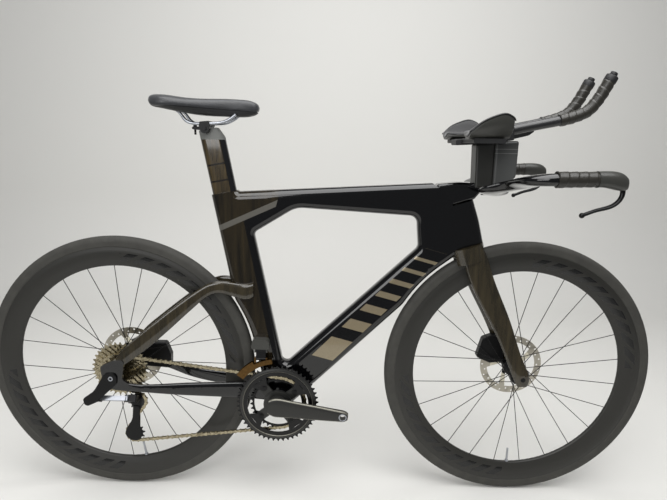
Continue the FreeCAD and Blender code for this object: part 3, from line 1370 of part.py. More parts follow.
def main():
    os.makedirs("parts", exist_ok=True)
    frame = frame_main()
    stay_left = chain_stay(frame)
    upper_left = seat_stay(frame, stay_left)
    export("frame_main", [frame])
    export("chain_stays", pair(stay_left))
    export("seat_stays", pair(upper_left))
    export("derailleur_hanger", [hanger()])
    export("rear_axle", [axle(REAR, -DROPOUT_OUTSIDE - HANGER_THICK, DROPOUT_OUTSIDE, 4)])
    export("frame_bearings", frame_bearings())
    export("rear_caliper", caliper([
        (rear(24, -24), 4), (rear(104, -30), 4), (rear(106, 8), 8), (rear(94, 42), 8),
        (rear(62, 42), 8), (rear(32, 16), 12)], REAR, REAR_ROTOR_Y, 44, 67, [stay_left, upper_left]))
    export("front_derailleur_bracket", [derailleur_bracket(frame)])
    export("rear_derailleur_mount", [derailleur_mount()])

    seat_post = seatpost()
    rails = [rail(RAIL_SPREAD), rail(-RAIL_SPREAD)]
    shell, cover = split_saddle()
    export("seatpost", [seat_post])
    export("saddle_rails", rails)
    export("saddle_clamp", saddle_clamp(rails, seat_post))
    export("saddle_shell", [shell])
    export("saddle_cover", [cover])

    fork_body = fork()
    stem_body = stem()
    bar = base_bar(stem_body)
    tape = grip_tape(bar)
    hood = brake_hood(bar, tape)
    tube = extension_tube()
    cup = arm_cup()
    riser = riser_column([stem_body, bar])
    export("fork", [fork_body])
    export("stem", [stem_body])
    export("base_bar", [bar])
    export("grip_tape", pair(tape))
    export("brake_hoods", pair(hood))
    export("extensions", pair(extension(tube)))
    export("extension_grips", pair(extension_grip(tube)))
    export("riser_column", riser)
    export("extension_bridge", [extension_bridge(pair(tube) + pair(cup) + riser)])
    export("arm_cups", pair(cup))
    export("arm_pads", pair(arm_pad().cut(cup)))
    export("front_axle", [axle(FRONT, -FORK_OUTSIDE, FORK_OUTSIDE - 0.2, 3)])
    export("front_caliper", caliper([
        (front(-94, 22), 6), (front(-58, 6), 6), (front(-20, 10), 4), (front(-30, 70), 4),
        (front(-50, 86), 8), (front(-80, 74), 8)], FRONT, FRONT_ROTOR_Y, 27, 49, [fork_body]))
    lever = brake_lever()
    button = shift_button()
    export("brake_lever_left", [lever])
    export("brake_lever_right", [mirrored(lever)])
    export("shift_button_left", [button])
    export("shift_button_right", [mirrored(button)])

    for name, centre, turn, valve_turn, left_y, right_y, hub, rotor_y in [
            ("front", FRONT, FRONT_SPOKE_TURN, FRONT_VALVE_TURN, 22, -30, front_hub(), FRONT_ROTOR_Y),
            ("rear", REAR, REAR_SPOKE_TURN, REAR_VALVE_TURN, 35, -15, rear_hub(), REAR_ROTOR_Y)]:
        wheel_rim = rim(centre)
        export(name + "_rim", [wheel_rim])
        export(name + "_tyre", [tyre(centre, wheel_rim)])
        export(name + "_spokes", spokes(centre, turn, left_y, right_y))
        export(name + "_hub", [hub])
        export(name + "_rotor", [rotor(centre, rotor_y, 10.6)])
        export(name + "_valve", [valve(centre, valve_turn)])

    export("crank_right", [crank_right()])
    export("crank_left", [crank_left()])
    small_phase = wheel_phase(0)
    export("big_chainring", [chainring(BIG_TEETH, CRANK_ANGLE, BIG_RING_Y, 2.0)])
    export("small_chainring", [chainring(SMALL_TEETH, small_phase, CHAIN_Y, TOOTH_THICK)])
    export("chainring_bolts", chainring_bolts())
    export("cassette", cassette())
    export("chain", chain())
    export("rear_derailleur_outer_link", [derailleur_link(-1)])
    export("rear_derailleur_inner_link", [derailleur_link(1)])
    export("rear_derailleur_knuckle", [derailleur_knuckle()])
    export("rear_derailleur_cage", [derailleur_cage()])
    export("guide_pulley", [pulley(2)])
    export("tension_pulley", [pulley(1)])
    export("front_derailleur_link", [front_link()])
    export("front_derailleur_cage", [front_cage()])
    print("links", LINKS, "cage swing", round(CAGE_SWING, 3))


main()
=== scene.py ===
# %% [markdown]
# # A time trial bike, dressed around its solids
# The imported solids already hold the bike's shapes and places. This lesson gives each of them the
# finish of the real thing, replaces the soft pieces by softer ones, and adds small fittings.
# Everything is in metres in one frame: +X forward, +Y to the rider's left, +Z up.

# %% Load the solids
import bmesh
import bpy
import math
import numpy as np
from mathutils import Matrix


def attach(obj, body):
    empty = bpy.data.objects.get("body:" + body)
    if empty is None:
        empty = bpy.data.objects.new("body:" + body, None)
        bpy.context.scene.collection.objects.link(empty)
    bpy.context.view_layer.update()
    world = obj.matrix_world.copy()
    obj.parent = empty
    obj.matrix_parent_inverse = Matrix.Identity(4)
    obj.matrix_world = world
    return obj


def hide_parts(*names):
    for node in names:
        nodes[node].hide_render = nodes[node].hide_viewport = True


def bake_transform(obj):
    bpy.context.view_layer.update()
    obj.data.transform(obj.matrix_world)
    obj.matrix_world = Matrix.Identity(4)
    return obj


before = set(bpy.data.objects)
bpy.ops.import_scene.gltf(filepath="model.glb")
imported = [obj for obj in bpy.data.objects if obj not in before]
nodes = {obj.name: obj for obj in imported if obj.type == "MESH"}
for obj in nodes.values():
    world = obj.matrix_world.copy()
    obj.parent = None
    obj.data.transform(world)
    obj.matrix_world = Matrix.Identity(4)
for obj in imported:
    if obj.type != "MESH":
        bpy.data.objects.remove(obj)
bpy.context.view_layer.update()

# %% [markdown]
# ## The camera
# The photograph was taken from the drive side, a little above the bars, with a wide lens. A camera
# could be set up by eye. Here three turns and a place were solved from the wheels' outlines and the
# ground, so the render lines up with the photograph all over. A camera looks along its own -Z, so
# the columns of its matrix are right, up and backwards.

# %% Camera
YAW, PITCH, ROLL = -0.0028, 0.2102, -0.0140  # radians
EYE = np.array([0.0351, -1.206, 0.9052])
FOCAL_PIXELS, PHOTO_WIDTH, SENSOR = 502.16, 667, 36.0  # the sensor is in mm


def standing(right, up, back, place):
    """Matrix of an object that stands at a place: its columns are right, up, backwards, place."""
    turn = np.eye(4)
    turn[:3] = np.column_stack([right, up, back, place])
    return Matrix(turn.tolist())


look = np.array([math.sin(YAW) * math.cos(PITCH), math.cos(YAW) * math.cos(PITCH), -math.sin(PITCH)])
level = np.array([math.cos(YAW), -math.sin(YAW), 0.0])
down = np.cross(look, level)
right = math.cos(ROLL) * level + math.sin(ROLL) * down
up = math.sin(ROLL) * level - math.cos(ROLL) * down
camera = bpy.data.objects.new("camera", bpy.data.cameras.new("camera"))
bpy.context.scene.collection.objects.link(camera)
camera.data.sensor_width = SENSOR
camera.data.lens = FOCAL_PIXELS * SENSOR / PHOTO_WIDTH
camera.matrix_world = standing(right, up, -look, EYE)
bpy.context.scene.camera = camera
print("lens", round(camera.data.lens, 2), "mm")

# %% [markdown]
# ## Small tools for finishes
# Colours are written as people pick them, in sRGB hex, and Blender wants linear light. `add` puts
# one node in a tree, sets it up, plugs in its inputs and hands back the output that is wanted, so
# a finish reads as a list of steps. Nodes could be placed by hand in the editor, but a list can be
# read and run again. Patterns lie in the piece's own Object coordinates, in metres.

# %% Colour and node helpers
MM = 0.001


def linear(code):
    """Linear RGBA of an sRGB hex colour: the standard curve, channel by channel."""
    channel = np.array([int(code[i:i + 2], 16) for i in (1, 3, 5)]) / 255.0
    light = np.where(channel <= 0.04045, channel / 12.92, ((channel + 0.055) / 1.055) ** 2.4)
    return (*light.tolist(), 1.0)


def add(tree, kind, inputs=None, out=0, **settings):
    """Add a node; inputs are values or other nodes' outputs. Returns the output called `out`."""
    made = tree.nodes.new("ShaderNode" + kind)
    for name, value in settings.items():
        setattr(made, name, value)
    for key, value in (inputs or {}).items():
        if isinstance(value, bpy.types.NodeSocket):
            tree.links.new(value, made.inputs[key])
        else:
            made.inputs[key].default_value = value
    return made.outputs[out]


def finish(name, code, rough, metal=0.0, **more):
    """Start a finish: a Principled shader with plain values, and the piece's Object coordinates."""
    material = bpy.data.materials.new(name)
    material.use_nodes = True
    tree = material.node_tree
    shader = tree.nodes["Principled BSDF"]
    shader.inputs["Base Color"].default_value = linear(code)
    shader.inputs["Roughness"].default_value = rough
    shader.inputs["Metallic"].default_value = metal
    for socket, value in more.items():
        shader.inputs[socket.replace("_", " ")].default_value = value
    return material, tree, shader, add(tree, "TexCoord", out="Object")


def drive(tree, shader, **fields):
    """Plug fields into the shader's sockets, by name."""
    for socket, field in fields.items():
        tree.links.new(field, shader.inputs[socket.replace("_", " ")])


def wear(coat, *names):
    """Give CAD nodes a finish."""
    for name in names:
        nodes[name].data.materials.clear()
        nodes[name].data.materials.append(coat)
    print(coat.name, "on", len(names))


print("middle grey #808080 is", round(linear("#808080")[0], 3), "in linear light")

# %% [markdown]
# ## Lacquered carbon
# The frame is moulded carbon under thick clear lacquer. The head, top and down tubes are painted
# black first, and the seat tube is only tinted, so the brown-grey fibres show through in long
# streaks. A slanted satin stripe parts the two. The zones could be painted on an unwrapped picture,
# but half-planes in the side view stay crisp at any distance: each is a dot product with a
# direction, then a threshold.

# %% Frame zones
BLACK, STRIPE_GREY = "#050506", "#56544e"
SEAT_TOP = np.array([-0.2305, 0.0, 0.786])
POST_UP = np.array([-0.1857, 0.0, 0.9826])
POST_FORWARD = np.array([0.9826, 0.0, 0.1857])
POST_LEAN = math.radians(10.7)
TINT_FRONT = 34 * MM  # the tint ends this far ahead of the post's axis
STRIPE_LOW, STRIPE_HIGH = np.array([-0.2410, 0, 0.7020]), np.array([-0.1185, 0, 0.7570])
STRIPE_HALF = 6.5 * MM
TIP_WAY, TIP = (-0.963, 0, 0.27), (-0.1045, 0, 0.762)  # the cut across the stripe's front end
FADE_HEIGHT, FADE_SOFT = 0.36, 40 * MM  # the tint dies out above the bottom bracket


def beyond(tree, place, direction, point, soft=0.4 * MM):
    """1 on the far side of a plane through a point, 0 on the near side, with a thin soft edge."""
    offset = float(np.dot(direction, point))
    reach = add(tree, "VectorMath", {0: place, 1: tuple(direction)}, "Value", operation="DOT_PRODUCT")
    return add(tree, "MapRange", {"Value": reach, "From Min": offset - soft, "From Max": offset + soft})


def streaks(tree, place, across, along, dark, light):
    """Long fibre streaks up the seat tube: noise `across` metres wide and `along` metres long."""
    scaled = add(tree, "Mapping", {"Vector": place, "Rotation": (0, POST_LEAN, 0),
                                   "Scale": (1 / across, 1 / across, 1 / along)})
    field = add(tree, "TexNoise", {"Vector": scaled, "Scale": 1.0, "Detail": 5.0, "Roughness": 0.6})
    share = add(tree, "MapRange", {"Value": field, "From Min": 0.35, "From Max": 0.7})
    return add(tree, "Mix", {0: share, 6: linear(dark), 7: linear(light)}, 2, data_type="RGBA")


# Clear lacquer on black paint: a deep body that shows only narrow, sharp reflections.
lacquer, tree, shader, place = finish("lacquered_carbon", BLACK, 0.2, Specular_IOR_Level=0.1,
                                      Coat_Weight=0.9, Coat_Roughness=0.04)
fibres = streaks(tree, place, 12 * MM, 160 * MM, "#120f09", "#2c2517")
front = beyond(tree, place, POST_FORWARD, SEAT_TOP + POST_FORWARD * TINT_FRONT)
rise = (STRIPE_HIGH - STRIPE_LOW) / np.linalg.norm(STRIPE_HIGH - STRIPE_LOW)
above = np.array([-rise[2], 0, rise[0]])
over_top = beyond(tree, place, above, STRIPE_LOW + above * STRIPE_HALF)
over_low = beyond(tree, place, above, STRIPE_LOW - above * STRIPE_HALF)
rearward = beyond(tree, place, TIP_WAY, TIP)
patch = add(tree, "Math", {0: over_top, 1: rearward}, operation="MULTIPLY")
post_side = add(tree, "Math", {0: 1.0, 1: front}, operation="SUBTRACT")
zone = add(tree, "Math", {0: post_side, 1: patch}, operation="MAXIMUM")
fade = beyond(tree, place, (0, 0, 1), (0, 0, FADE_HEIGHT), FADE_SOFT)
tinted = add(tree, "Math", {0: zone, 1: fade}, operation="MULTIPLY")
band = add(tree, "Math", {0: over_low, 1: over_top}, operation="SUBTRACT")
band = add(tree, "Math", {0: band, 1: rearward}, operation="MULTIPLY")
body = add(tree, "Mix", {0: tinted, 6: linear(BLACK), 7: fibres}, 2, data_type="RGBA")
body = add(tree, "Mix", {0: band, 6: body, 7: linear(STRIPE_GREY)}, 2, data_type="RGBA")
print("stripe rises at", round(math.degrees(math.asin(rise[2])), 1), "degrees")

# %% [markdown]
# A set of metallic bars runs up the down tube. They could be thin plates laid on it, but as stripes
# in the lacquer they follow the tube's shape by themselves. Their beat is the fraction of a curve
# that quickens up the tube, and each bar takes a smaller share of its beat than the one below it.
# Fine flake breaks up the bronze.

# %% Bars on the down tube
BRONZE = "#93876f"
TUBE_START = np.array([0.007, 0, 0.3735])
TUBE_WAY, TUBE_SIDE = np.array([0.697, 0, 0.717]), np.array([-0.717, 0, 0.697])
SLANT = TUBE_WAY + 0.55 * TUBE_SIDE  # 0.55 across the tube for 1 along it
RUN, HALF_WIDTH = 0.39, 24 * MM
BARS, QUICKEN = 7.0, 1.5  # the curve is BARS * share ** QUICKEN
FIRST_SHARE, SHARE_CHANGE = 0.62, -0.42  # what a bar takes of its beat: at the start, and from there up
BAR_METAL, BAR_ROUGH, LACQUER_ROUGH = 0.7, 0.4, 0.16
start = float(SLANT @ TUBE_START)
run = add(tree, "VectorMath", {0: place, 1: tuple(SLANT)}, "Value", operation="DOT_PRODUCT")
share = add(tree, "MapRange", {"Value": run, "From Min": start, "From Max": start + RUN})
curve = add(tree, "Math", {0: share, 1: QUICKEN}, operation="POWER")
curve = add(tree, "Math", {0: curve, 1: BARS}, operation="MULTIPLY")
beat = add(tree, "Math", {0: curve}, operation="FRACT")
thin = add(tree, "Math", {0: share, 1: SHARE_CHANGE, 2: FIRST_SHARE}, operation="MULTIPLY_ADD")
bar = add(tree, "Math", {0: beat, 1: thin}, operation="LESS_THAN")
edges = [(TUBE_SIDE, TUBE_START - TUBE_SIDE * HALF_WIDTH),
         (-TUBE_SIDE, TUBE_START + TUBE_SIDE * HALF_WIDTH),
         (SLANT, TUBE_START), (-SLANT, TUBE_START + SLANT * (RUN / float(SLANT @ SLANT)))]
for direction, point in edges:
    bar = add(tree, "Math", {0: bar, 1: beyond(tree, place, direction, point)}, operation="MULTIPLY")
flake = add(tree, "TexVoronoi", {"Vector": place, "Scale": 1 / (0.45 * MM)}, "Color")  # 0.45 mm flakes
glint = add(tree, "MapRange", {"Value": flake, "To Min": 0.75, "To Max": 1.25})
bronze = add(tree, "Mix", {0: 1.0, 6: linear(BRONZE), 7: glint}, 2, data_type="RGBA",
             blend_type="MULTIPLY")
body = add(tree, "Mix", {0: bar, 6: body, 7: bronze}, 2, data_type="RGBA")
dull = add(tree, "Math", {0: bar, 1: band}, operation="MAXIMUM")
drive(tree, shader, Base_Color=body,
      Metallic=add(tree, "Math", {0: bar, 1: BAR_METAL}, operation="MULTIPLY"),
      Roughness=add(tree, "MapRange", {"Value": dull, "To Min": LACQUER_ROUGH, "To Max": BAR_ROUGH}))
wear(lacquer, "frame_main")

# %% [markdown]
# The other carbon pieces are black lacquer, a drier satin on the extensions, and the smoke tint,
# where light goes through brown lacquer to the fibres. One shared finish would be less work, but
# the eye tells these pieces apart by their shine, so each has its own.

# %% Other carbon
# Sprayed black lacquer: deep black, with the faint ripple of paint in its reflections.
gloss, tree, shader, place = finish("black_lacquer", "#060607", 0.2, Specular_IOR_Level=0.1,
                                    Coat_Weight=0.9, Coat_Roughness=0.05)
ripple = add(tree, "TexNoise", {"Vector": place, "Scale": 1 / (16 * MM), "Detail": 2.0})  # 16 mm ripples
drive(tree, shader, Normal=add(tree, "Bump", {"Height": ripple, "Strength": 0.05, "Distance": 0.4 * MM}))
wear(gloss, "stem", "base_bar", "chain_stays")

# Carbon tube with a thin satin coat: dark grey, dull, faintly mottled.
dry, tree, shader, place = finish("satin_carbon", "#1b1b1c", 0.36, Coat_Weight=0.3, Coat_Roughness=0.25)
weave = add(tree, "TexNoise", {"Vector": place, "Scale": 1 / (3 * MM), "Detail": 4.0})  # 3 mm tows
drive(tree, shader, Base_Color=add(tree, "Mix", {0: weave, 6: linear("#141415"), 7: linear("#262627")}, 2,
                                   data_type="RGBA"))
wear(dry, "extensions")

# Brown-tinted lacquer on bare fibres: streaks in the depth under a bright gloss.
smoke, tree, shader, place = finish("smoke_tinted_carbon", "#2c2618", 0.25, Specular_IOR_Level=0.2,
                                    Coat_Weight=0.9, Coat_Roughness=0.07)
drive(tree, shader, Base_Color=streaks(tree, place, 14 * MM, 200 * MM, "#1f1b11", "#3a3323"))
wear(smoke, "fork", "seat_stays")

# %% [markdown]
# The seatpost is tinted behind and black in front, with two dark rings and a grey alloy head. It
# could be cut into four pieces, but planes across the post part the finishes just as well, and the
# solid stays whole.

# %% Seatpost
RING_HEIGHTS, RING_HALF = (29 * MM, 68 * MM), 2 * MM  # above the seat tube, along the post
BLACK_FRONT, HEAD_HEIGHT = 17 * MM, 0.909  # ahead of the post's axis, and above the ground
# Tinted lacquer below, bare blasted alloy on the head: gloss and streaks, then a dull pale grey.
post, tree, shader, place = finish("seatpost_carbon", "#2c2618", 0.2, Specular_IOR_Level=0.2,
                                   Coat_Weight=0.9, Coat_Roughness=0.06)
tone = streaks(tree, place, 7 * MM, 90 * MM, "#1f190e", "#4c4029")
for height in RING_HEIGHTS:
    over = beyond(tree, place, POST_UP, SEAT_TOP + POST_UP * (height - RING_HALF))
    under = beyond(tree, place, -POST_UP, SEAT_TOP + POST_UP * (height + RING_HALF))
    ring = add(tree, "Math", {0: over, 1: under}, operation="MULTIPLY")
    tone = add(tree, "Mix", {0: ring, 6: tone, 7: linear("#120d07")}, 2, data_type="RGBA")
ahead = beyond(tree, place, POST_FORWARD, SEAT_TOP + POST_FORWARD * BLACK_FRONT)
tone = add(tree, "Mix", {0: ahead, 6: tone, 7: linear("#0c0c0e")}, 2, data_type="RGBA")
head = beyond(tree, place, (0, 0, 1), (0, 0, HEAD_HEIGHT))
tone = add(tree, "Mix", {0: head, 6: tone, 7: linear("#6d6e6b")}, 2, data_type="RGBA")
drive(tree, shader, Base_Color=tone,
      Roughness=add(tree, "MapRange", {"Value": head, "To Min": 0.2, "To Max": 0.45}),
      Coat_Weight=add(tree, "Math", {0: 1.0, 1: head}, operation="SUBTRACT"))
wear(post, "seatpost")

# %% [markdown]
# ## Rims
# Rims, tyres and rotors are dressed in polar coordinates about the wheel's own axle, because all
# their marks run round it; an unwrapped picture would have a seam. The deep rims are bare carbon
# with a dry face and, on it, a run of glossier blocks in black on black.

# %% Rim finishes
AXLES = {"front": (0.5045, 0.0, 0.338), "rear": (-0.5045, 0.0, 0.338)}
BLOCKS, BLOCK_LEAN, BLOCK_SHARE = 7.0, 5.0, 0.6  # per radian (44 a turn), radians per metre out, filled
BLOCK_BAND, RUN_EDGE = (0.276, 0.298), 0.1  # from the axle; a run lasts while sin(2 angle) is above 0.1
RIM_ROUGH, BLOCK_ROUGH = 0.46, 0.22


def around(tree, place, axle):
    """Polar coordinates in the side view: metres from the axle, and the angle about it."""
    away = add(tree, "VectorMath", {0: place, 1: axle}, operation="SUBTRACT")
    flat = add(tree, "VectorMath", {0: away, 1: (1, 0, 1)}, operation="MULTIPLY")
    radius = add(tree, "VectorMath", {0: flat}, "Value", operation="LENGTH")
    ahead = add(tree, "VectorMath", {0: away, 1: (1, 0, 0)}, "Value", operation="DOT_PRODUCT")
    high = add(tree, "VectorMath", {0: away, 1: (0, 0, 1)}, "Value", operation="DOT_PRODUCT")
    return radius, add(tree, "Math", {0: high, 1: ahead}, operation="ARCTAN2")


def within(tree, field, low, high):
    """1 where a field lies between two values, else 0."""
    over = add(tree, "Math", {0: field, 1: low}, operation="GREATER_THAN")
    under = add(tree, "Math", {0: field, 1: high}, operation="LESS_THAN")
    return add(tree, "Math", {0: over, 1: under}, operation="MULTIPLY")


for wheel, axle in AXLES.items():
    # Moulded carbon without lacquer: a dry, warm black with a fine grain.
    rim_coat, tree, shader, place = finish(wheel + "_dry_carbon", "#1d1c19", RIM_ROUGH)
    radius, angle = around(tree, place, axle)
    slant = add(tree, "Math", {0: radius, 1: BLOCK_LEAN, 2: angle}, operation="MULTIPLY_ADD")
    slant = add(tree, "Math", {0: slant, 1: BLOCKS}, operation="MULTIPLY")
    beat = add(tree, "Math", {0: slant}, operation="FRACT")
    bar = add(tree, "Math", {0: beat, 1: BLOCK_SHARE}, operation="LESS_THAN")
    twice = add(tree, "Math", {0: angle, 1: 2.0}, operation="MULTIPLY")
    swing = add(tree, "Math", {0: twice}, operation="SINE")
    run = add(tree, "Math", {0: swing, 1: RUN_EDGE}, operation="GREATER_THAN")
    block = add(tree, "Math", {0: bar, 1: run}, operation="MULTIPLY")
    block = add(tree, "Math", {0: block, 1: within(tree, radius, *BLOCK_BAND)}, operation="MULTIPLY")
    grain = add(tree, "TexNoise", {"Vector": place, "Scale": 1 / (1.1 * MM), "Detail": 3.0})  # 1.1 mm grain
    tone = add(tree, "Mix", {0: grain, 6: linear("#191815"), 7: linear("#25241f")}, 2, data_type="RGBA")
    tone = add(tree, "Mix", {0: block, 6: tone, 7: linear("#090909")}, 2, data_type="RGBA")
    drive(tree, shader, Base_Color=tone,
          Roughness=add(tree, "MapRange", {"Value": block, "To Min": RIM_ROUGH, "To Max": BLOCK_ROUGH}))
    wear(rim_coat, wheel + "_rim")

# %% [markdown]
# ## Tyres
# The tyre is a dusty slick with a faint file cut on its shoulders. The cuts could be modelled, but
# they are well under a millimetre deep, so a bump shows them without a single extra face.

# %% Tyre finishes
CUTS = 420.0  # sine angle per angle of tyre: one cut per 5 mm of tread
SHOULDER = (0.327, 0.335)  # from the axle
for wheel, axle in AXLES.items():
    # Vulcanised rubber: dark grey and dull, clouded by road dust.
    rubber, tree, shader, place = finish(wheel + "_slick_rubber", "#34332f", 0.75)
    radius, angle = around(tree, place, axle)
    cut = add(tree, "Math", {0: angle, 1: CUTS}, operation="MULTIPLY")
    cut = add(tree, "Math", {0: cut}, operation="SINE")
    cut = add(tree, "Math", {0: cut, 1: within(tree, radius, *SHOULDER)}, operation="MULTIPLY")
    dust = add(tree, "TexNoise", {"Vector": place, "Scale": 1 / (22 * MM), "Detail": 6.0})  # 22 mm clouds
    tone = add(tree, "Mix", {0: dust, 6: linear("#2b2a27"), 7: linear("#403f3a")}, 2, data_type="RGBA")
    drive(tree, shader, Base_Color=tone,
          Normal=add(tree, "Bump", {"Height": cut, "Strength": 0.3, "Distance": 0.6 * MM}))
    wear(rubber, wheel + "_tyre")

# %% [markdown]
# ## Rotors
# A rotor's track is steel ground round and round by the pads. Inside it lies a paler ring of bare
# cooling fins, on a black carrier. The solid is one piece, so the distance from the axle picks the
# finish, which is simpler than three materials on chosen faces.

# %% Rotor finishes
FINS = (0.031, 0.054)  # from the axle; the carrier is inside them, the track outside
for wheel, axle in AXLES.items():
    # Ground stainless steel: a bright metal whose lines run with the pads.
    ground, tree, shader, place = finish(wheel + "_ground_steel", "#a79f92", 0.3, 1.0)
    radius, _ = around(tree, place, axle)
    lines = add(tree, "TexNoise", {"Vector": add(tree, "CombineXYZ", {0: radius}),
                                   "Scale": 1 / (0.4 * MM), "Detail": 2.0})  # grinding lines 0.4 mm apart
    tone = add(tree, "Mix", {0: lines, 6: linear("#8a857a"), 7: linear("#c9c4b8")}, 2, data_type="RGBA")
    fins = within(tree, radius, *FINS)
    tone = add(tree, "Mix", {0: fins, 6: tone, 7: linear("#e6e0cc")}, 2, data_type="RGBA")
    carrier = add(tree, "Math", {0: radius, 1: FINS[0]}, operation="LESS_THAN")
    tone = add(tree, "Mix", {0: carrier, 6: tone, 7: linear("#222223")}, 2, data_type="RGBA")
    drive(tree, shader, Base_Color=tone,
          Roughness=add(tree, "MapRange", {"Value": fins, "To Min": 0.3, "To Max": 0.6}),
          Metallic=add(tree, "MapRange", {"Value": fins, "To Min": 1.0, "To Max": 0.3}))
    wear(ground, wheel + "_rotor")

# %% [markdown]
# ## Metals
# Most metal here is black anodised aluminium; the chain and sprockets are nickel plate. Plain
# values would look like plastic, because the eye knows a metal by its uneven shine. So a fine noise
# moves the roughness of the one and the colour of the other.

# %% Anodised and nickel-plated
# Black anodised aluminium: nearly matte, with speckled highlights.
anodised, tree, shader, place = finish("black_anodised", "#121213", 0.38, 0.6)
speck = add(tree, "TexNoise", {"Vector": place, "Scale": 1 / (0.7 * MM), "Detail": 2.0})  # 0.7 mm speckle
drive(tree, shader, Roughness=add(tree, "MapRange", {"Value": speck, "To Min": 0.28, "To Max": 0.5}))
wear(anodised, "derailleur_hanger", "rear_axle", "front_axle", "frame_bearings", "rear_caliper",
     "front_caliper", "rear_derailleur_mount", "rear_derailleur_knuckle", "rear_derailleur_cage",
     "front_derailleur_link", "saddle_clamp", "front_hub", "rear_hub", "front_spokes", "rear_spokes",
     "small_chainring", "chainring_bolts")

# Nickel plate with a film of oil: pale warm metal, dark where the oil lies.
nickel, tree, shader, place = finish("oiled_nickel", "#9a917b", 0.24, 1.0)
oil = add(tree, "TexNoise", {"Vector": place, "Scale": 1 / (6 * MM), "Detail": 5.0})  # 6 mm smears
film = add(tree, "MapRange", {"Value": oil, "From Min": 0.4, "From Max": 0.75})
drive(tree, shader, Base_Color=add(tree, "Mix", {0: film, 6: linear("#a89f87"), 7: linear("#5a5240")}, 2,
                                   data_type="RGBA"))
wear(nickel, "chain", "cassette")

# %% [markdown]
# The crank is forged and dark, with bare chamfers painted pale, which paints in their highlight too.
# Those could get a material of their own, face by face. But they are the faces that look neither
# sideways nor edgeways, so the part of the normal along Y picks them out. The chainring is black
# plate, and the front changer's cage bronze.

# %% Crank, chainring and front changer
CHAMFER = (0.2, 0.9)  # the part of the normal along Y, on a slanted face
# Forged alloy, sand-blasted and dyed: dark and grainy, with slanted faces painted pale for bare cut metal
# and for a painted highlight.
forged, tree, shader, place = finish("forged_dark_alloy", "#333331", 0.4, 0.7)
facing = add(tree, "VectorMath", {0: add(tree, "TexCoord", out="Normal"), 1: (0, 1, 0)}, "Value",
             operation="DOT_PRODUCT")
facing = add(tree, "Math", {0: facing}, operation="ABSOLUTE")
pale_cut_edge_and_highlight = within(tree, facing, *CHAMFER)
sand = add(tree, "TexNoise", {"Vector": place, "Scale": 1 / (0.4 * MM), "Detail": 1.0})  # 0.4 mm sand
tone = add(tree, "Mix", {0: sand, 6: linear("#2b2b2a"), 7: linear("#41413f")}, 2, data_type="RGBA")
# slanted faces painted pale: bare cut metal, and a painted highlight on them
tone = add(tree, "Mix", {0: pale_cut_edge_and_highlight, 6: tone, 7: linear("#77756c")}, 2, data_type="RGBA")
drive(tree, shader, Base_Color=tone)
wear(forged, "crank_right", "crank_left")

# Black plating on alloy: almost no colour, with a thin uneven shine.
plate, tree, shader, place = finish("black_plated_alloy", "#070708", 0.3, 0.0, Specular_IOR_Level=0.15,
                                    Coat_Weight=0.3, Coat_Roughness=0.1)
turned = add(tree, "TexNoise", {"Vector": place, "Scale": 1 / (1.5 * MM), "Detail": 2.0})  # 1.5 mm mottle
drive(tree, shader, Roughness=add(tree, "MapRange", {"Value": turned, "To Min": 0.22, "To Max": 0.4}))
wear(plate, "big_chainring", "brake_lever_left", "brake_lever_right")

# Bronze plate: a warm brown metal with soft stains.
bronzed, tree, shader, place = finish("bronze_plate", "#5a4529", 0.3, 1.0)
stain = add(tree, "TexNoise", {"Vector": place, "Scale": 1 / (5 * MM), "Detail": 3.0})  # 5 mm stains
drive(tree, shader, Base_Color=add(tree, "Mix", {0: stain, 6: linear("#43341f"), 7: linear("#6f5330")}, 2,
                                   data_type="RGBA"))
wear(bronzed, "front_derailleur_cage")

# %% [markdown]
# The bright parts are brushed: fine hairs all run one way and draw the highlight out across them.
# Blender's anisotropy could bend the highlight, but it hides the hairs themselves. Here a noise that
# is stretched along X moves the roughness.

# %% Brushed alloys
# Brushed alloy, clear anodised: silver with hairs 17 mm long and 1.1 mm wide.
silver, tree, shader, place = finish("satin_silver_alloy", "#a4a7ad", 0.3, 0.9)
brush = add(tree, "Mapping", {"Vector": place, "Scale": (60, 900, 900)})
hair = add(tree, "TexNoise", {"Vector": brush, "Scale": 1.0, "Detail": 3.0})
drive(tree, shader, Roughness=add(tree, "MapRange", {"Value": hair, "To Min": 0.2, "To Max": 0.42}))
wear(silver, "rear_derailleur_outer_link", "saddle_rails", "front_valve", "rear_valve")

# Brushed alloy, anodised blue-grey: darker and cooler, with hairs 12 mm long and 1.1 mm wide.
blued, tree, shader, place = finish("blue_grey_alloy", "#4d525a", 0.35, 0.8)
brush = add(tree, "Mapping", {"Vector": place, "Scale": (80, 900, 900)})
hair = add(tree, "TexNoise", {"Vector": brush, "Scale": 1.0})
drive(tree, shader, Roughness=add(tree, "MapRange", {"Value": hair, "To Min": 0.25, "To Max": 0.45}))
wear(blued, "rear_derailleur_inner_link")

# %% [markdown]
# ## Plastics and the riser
# Mouldings carry the fine spark-eroded grain of their moulds. It could be left out at this distance,
# but its bump is what softens their shine. The riser column is two shells: a dark rear one and a
# paler front one with two thin lines near its top. Hoods and trays are smooth and satin, so a soft
# highlight runs along them. The rest is matte black.

# %% Plastic finishes
NOSE_X = 0.4014  # where the riser's front shell begins
LINE_HEIGHTS, LINE_WIDTH = (0.8860, 0.8955), 1.2 * MM
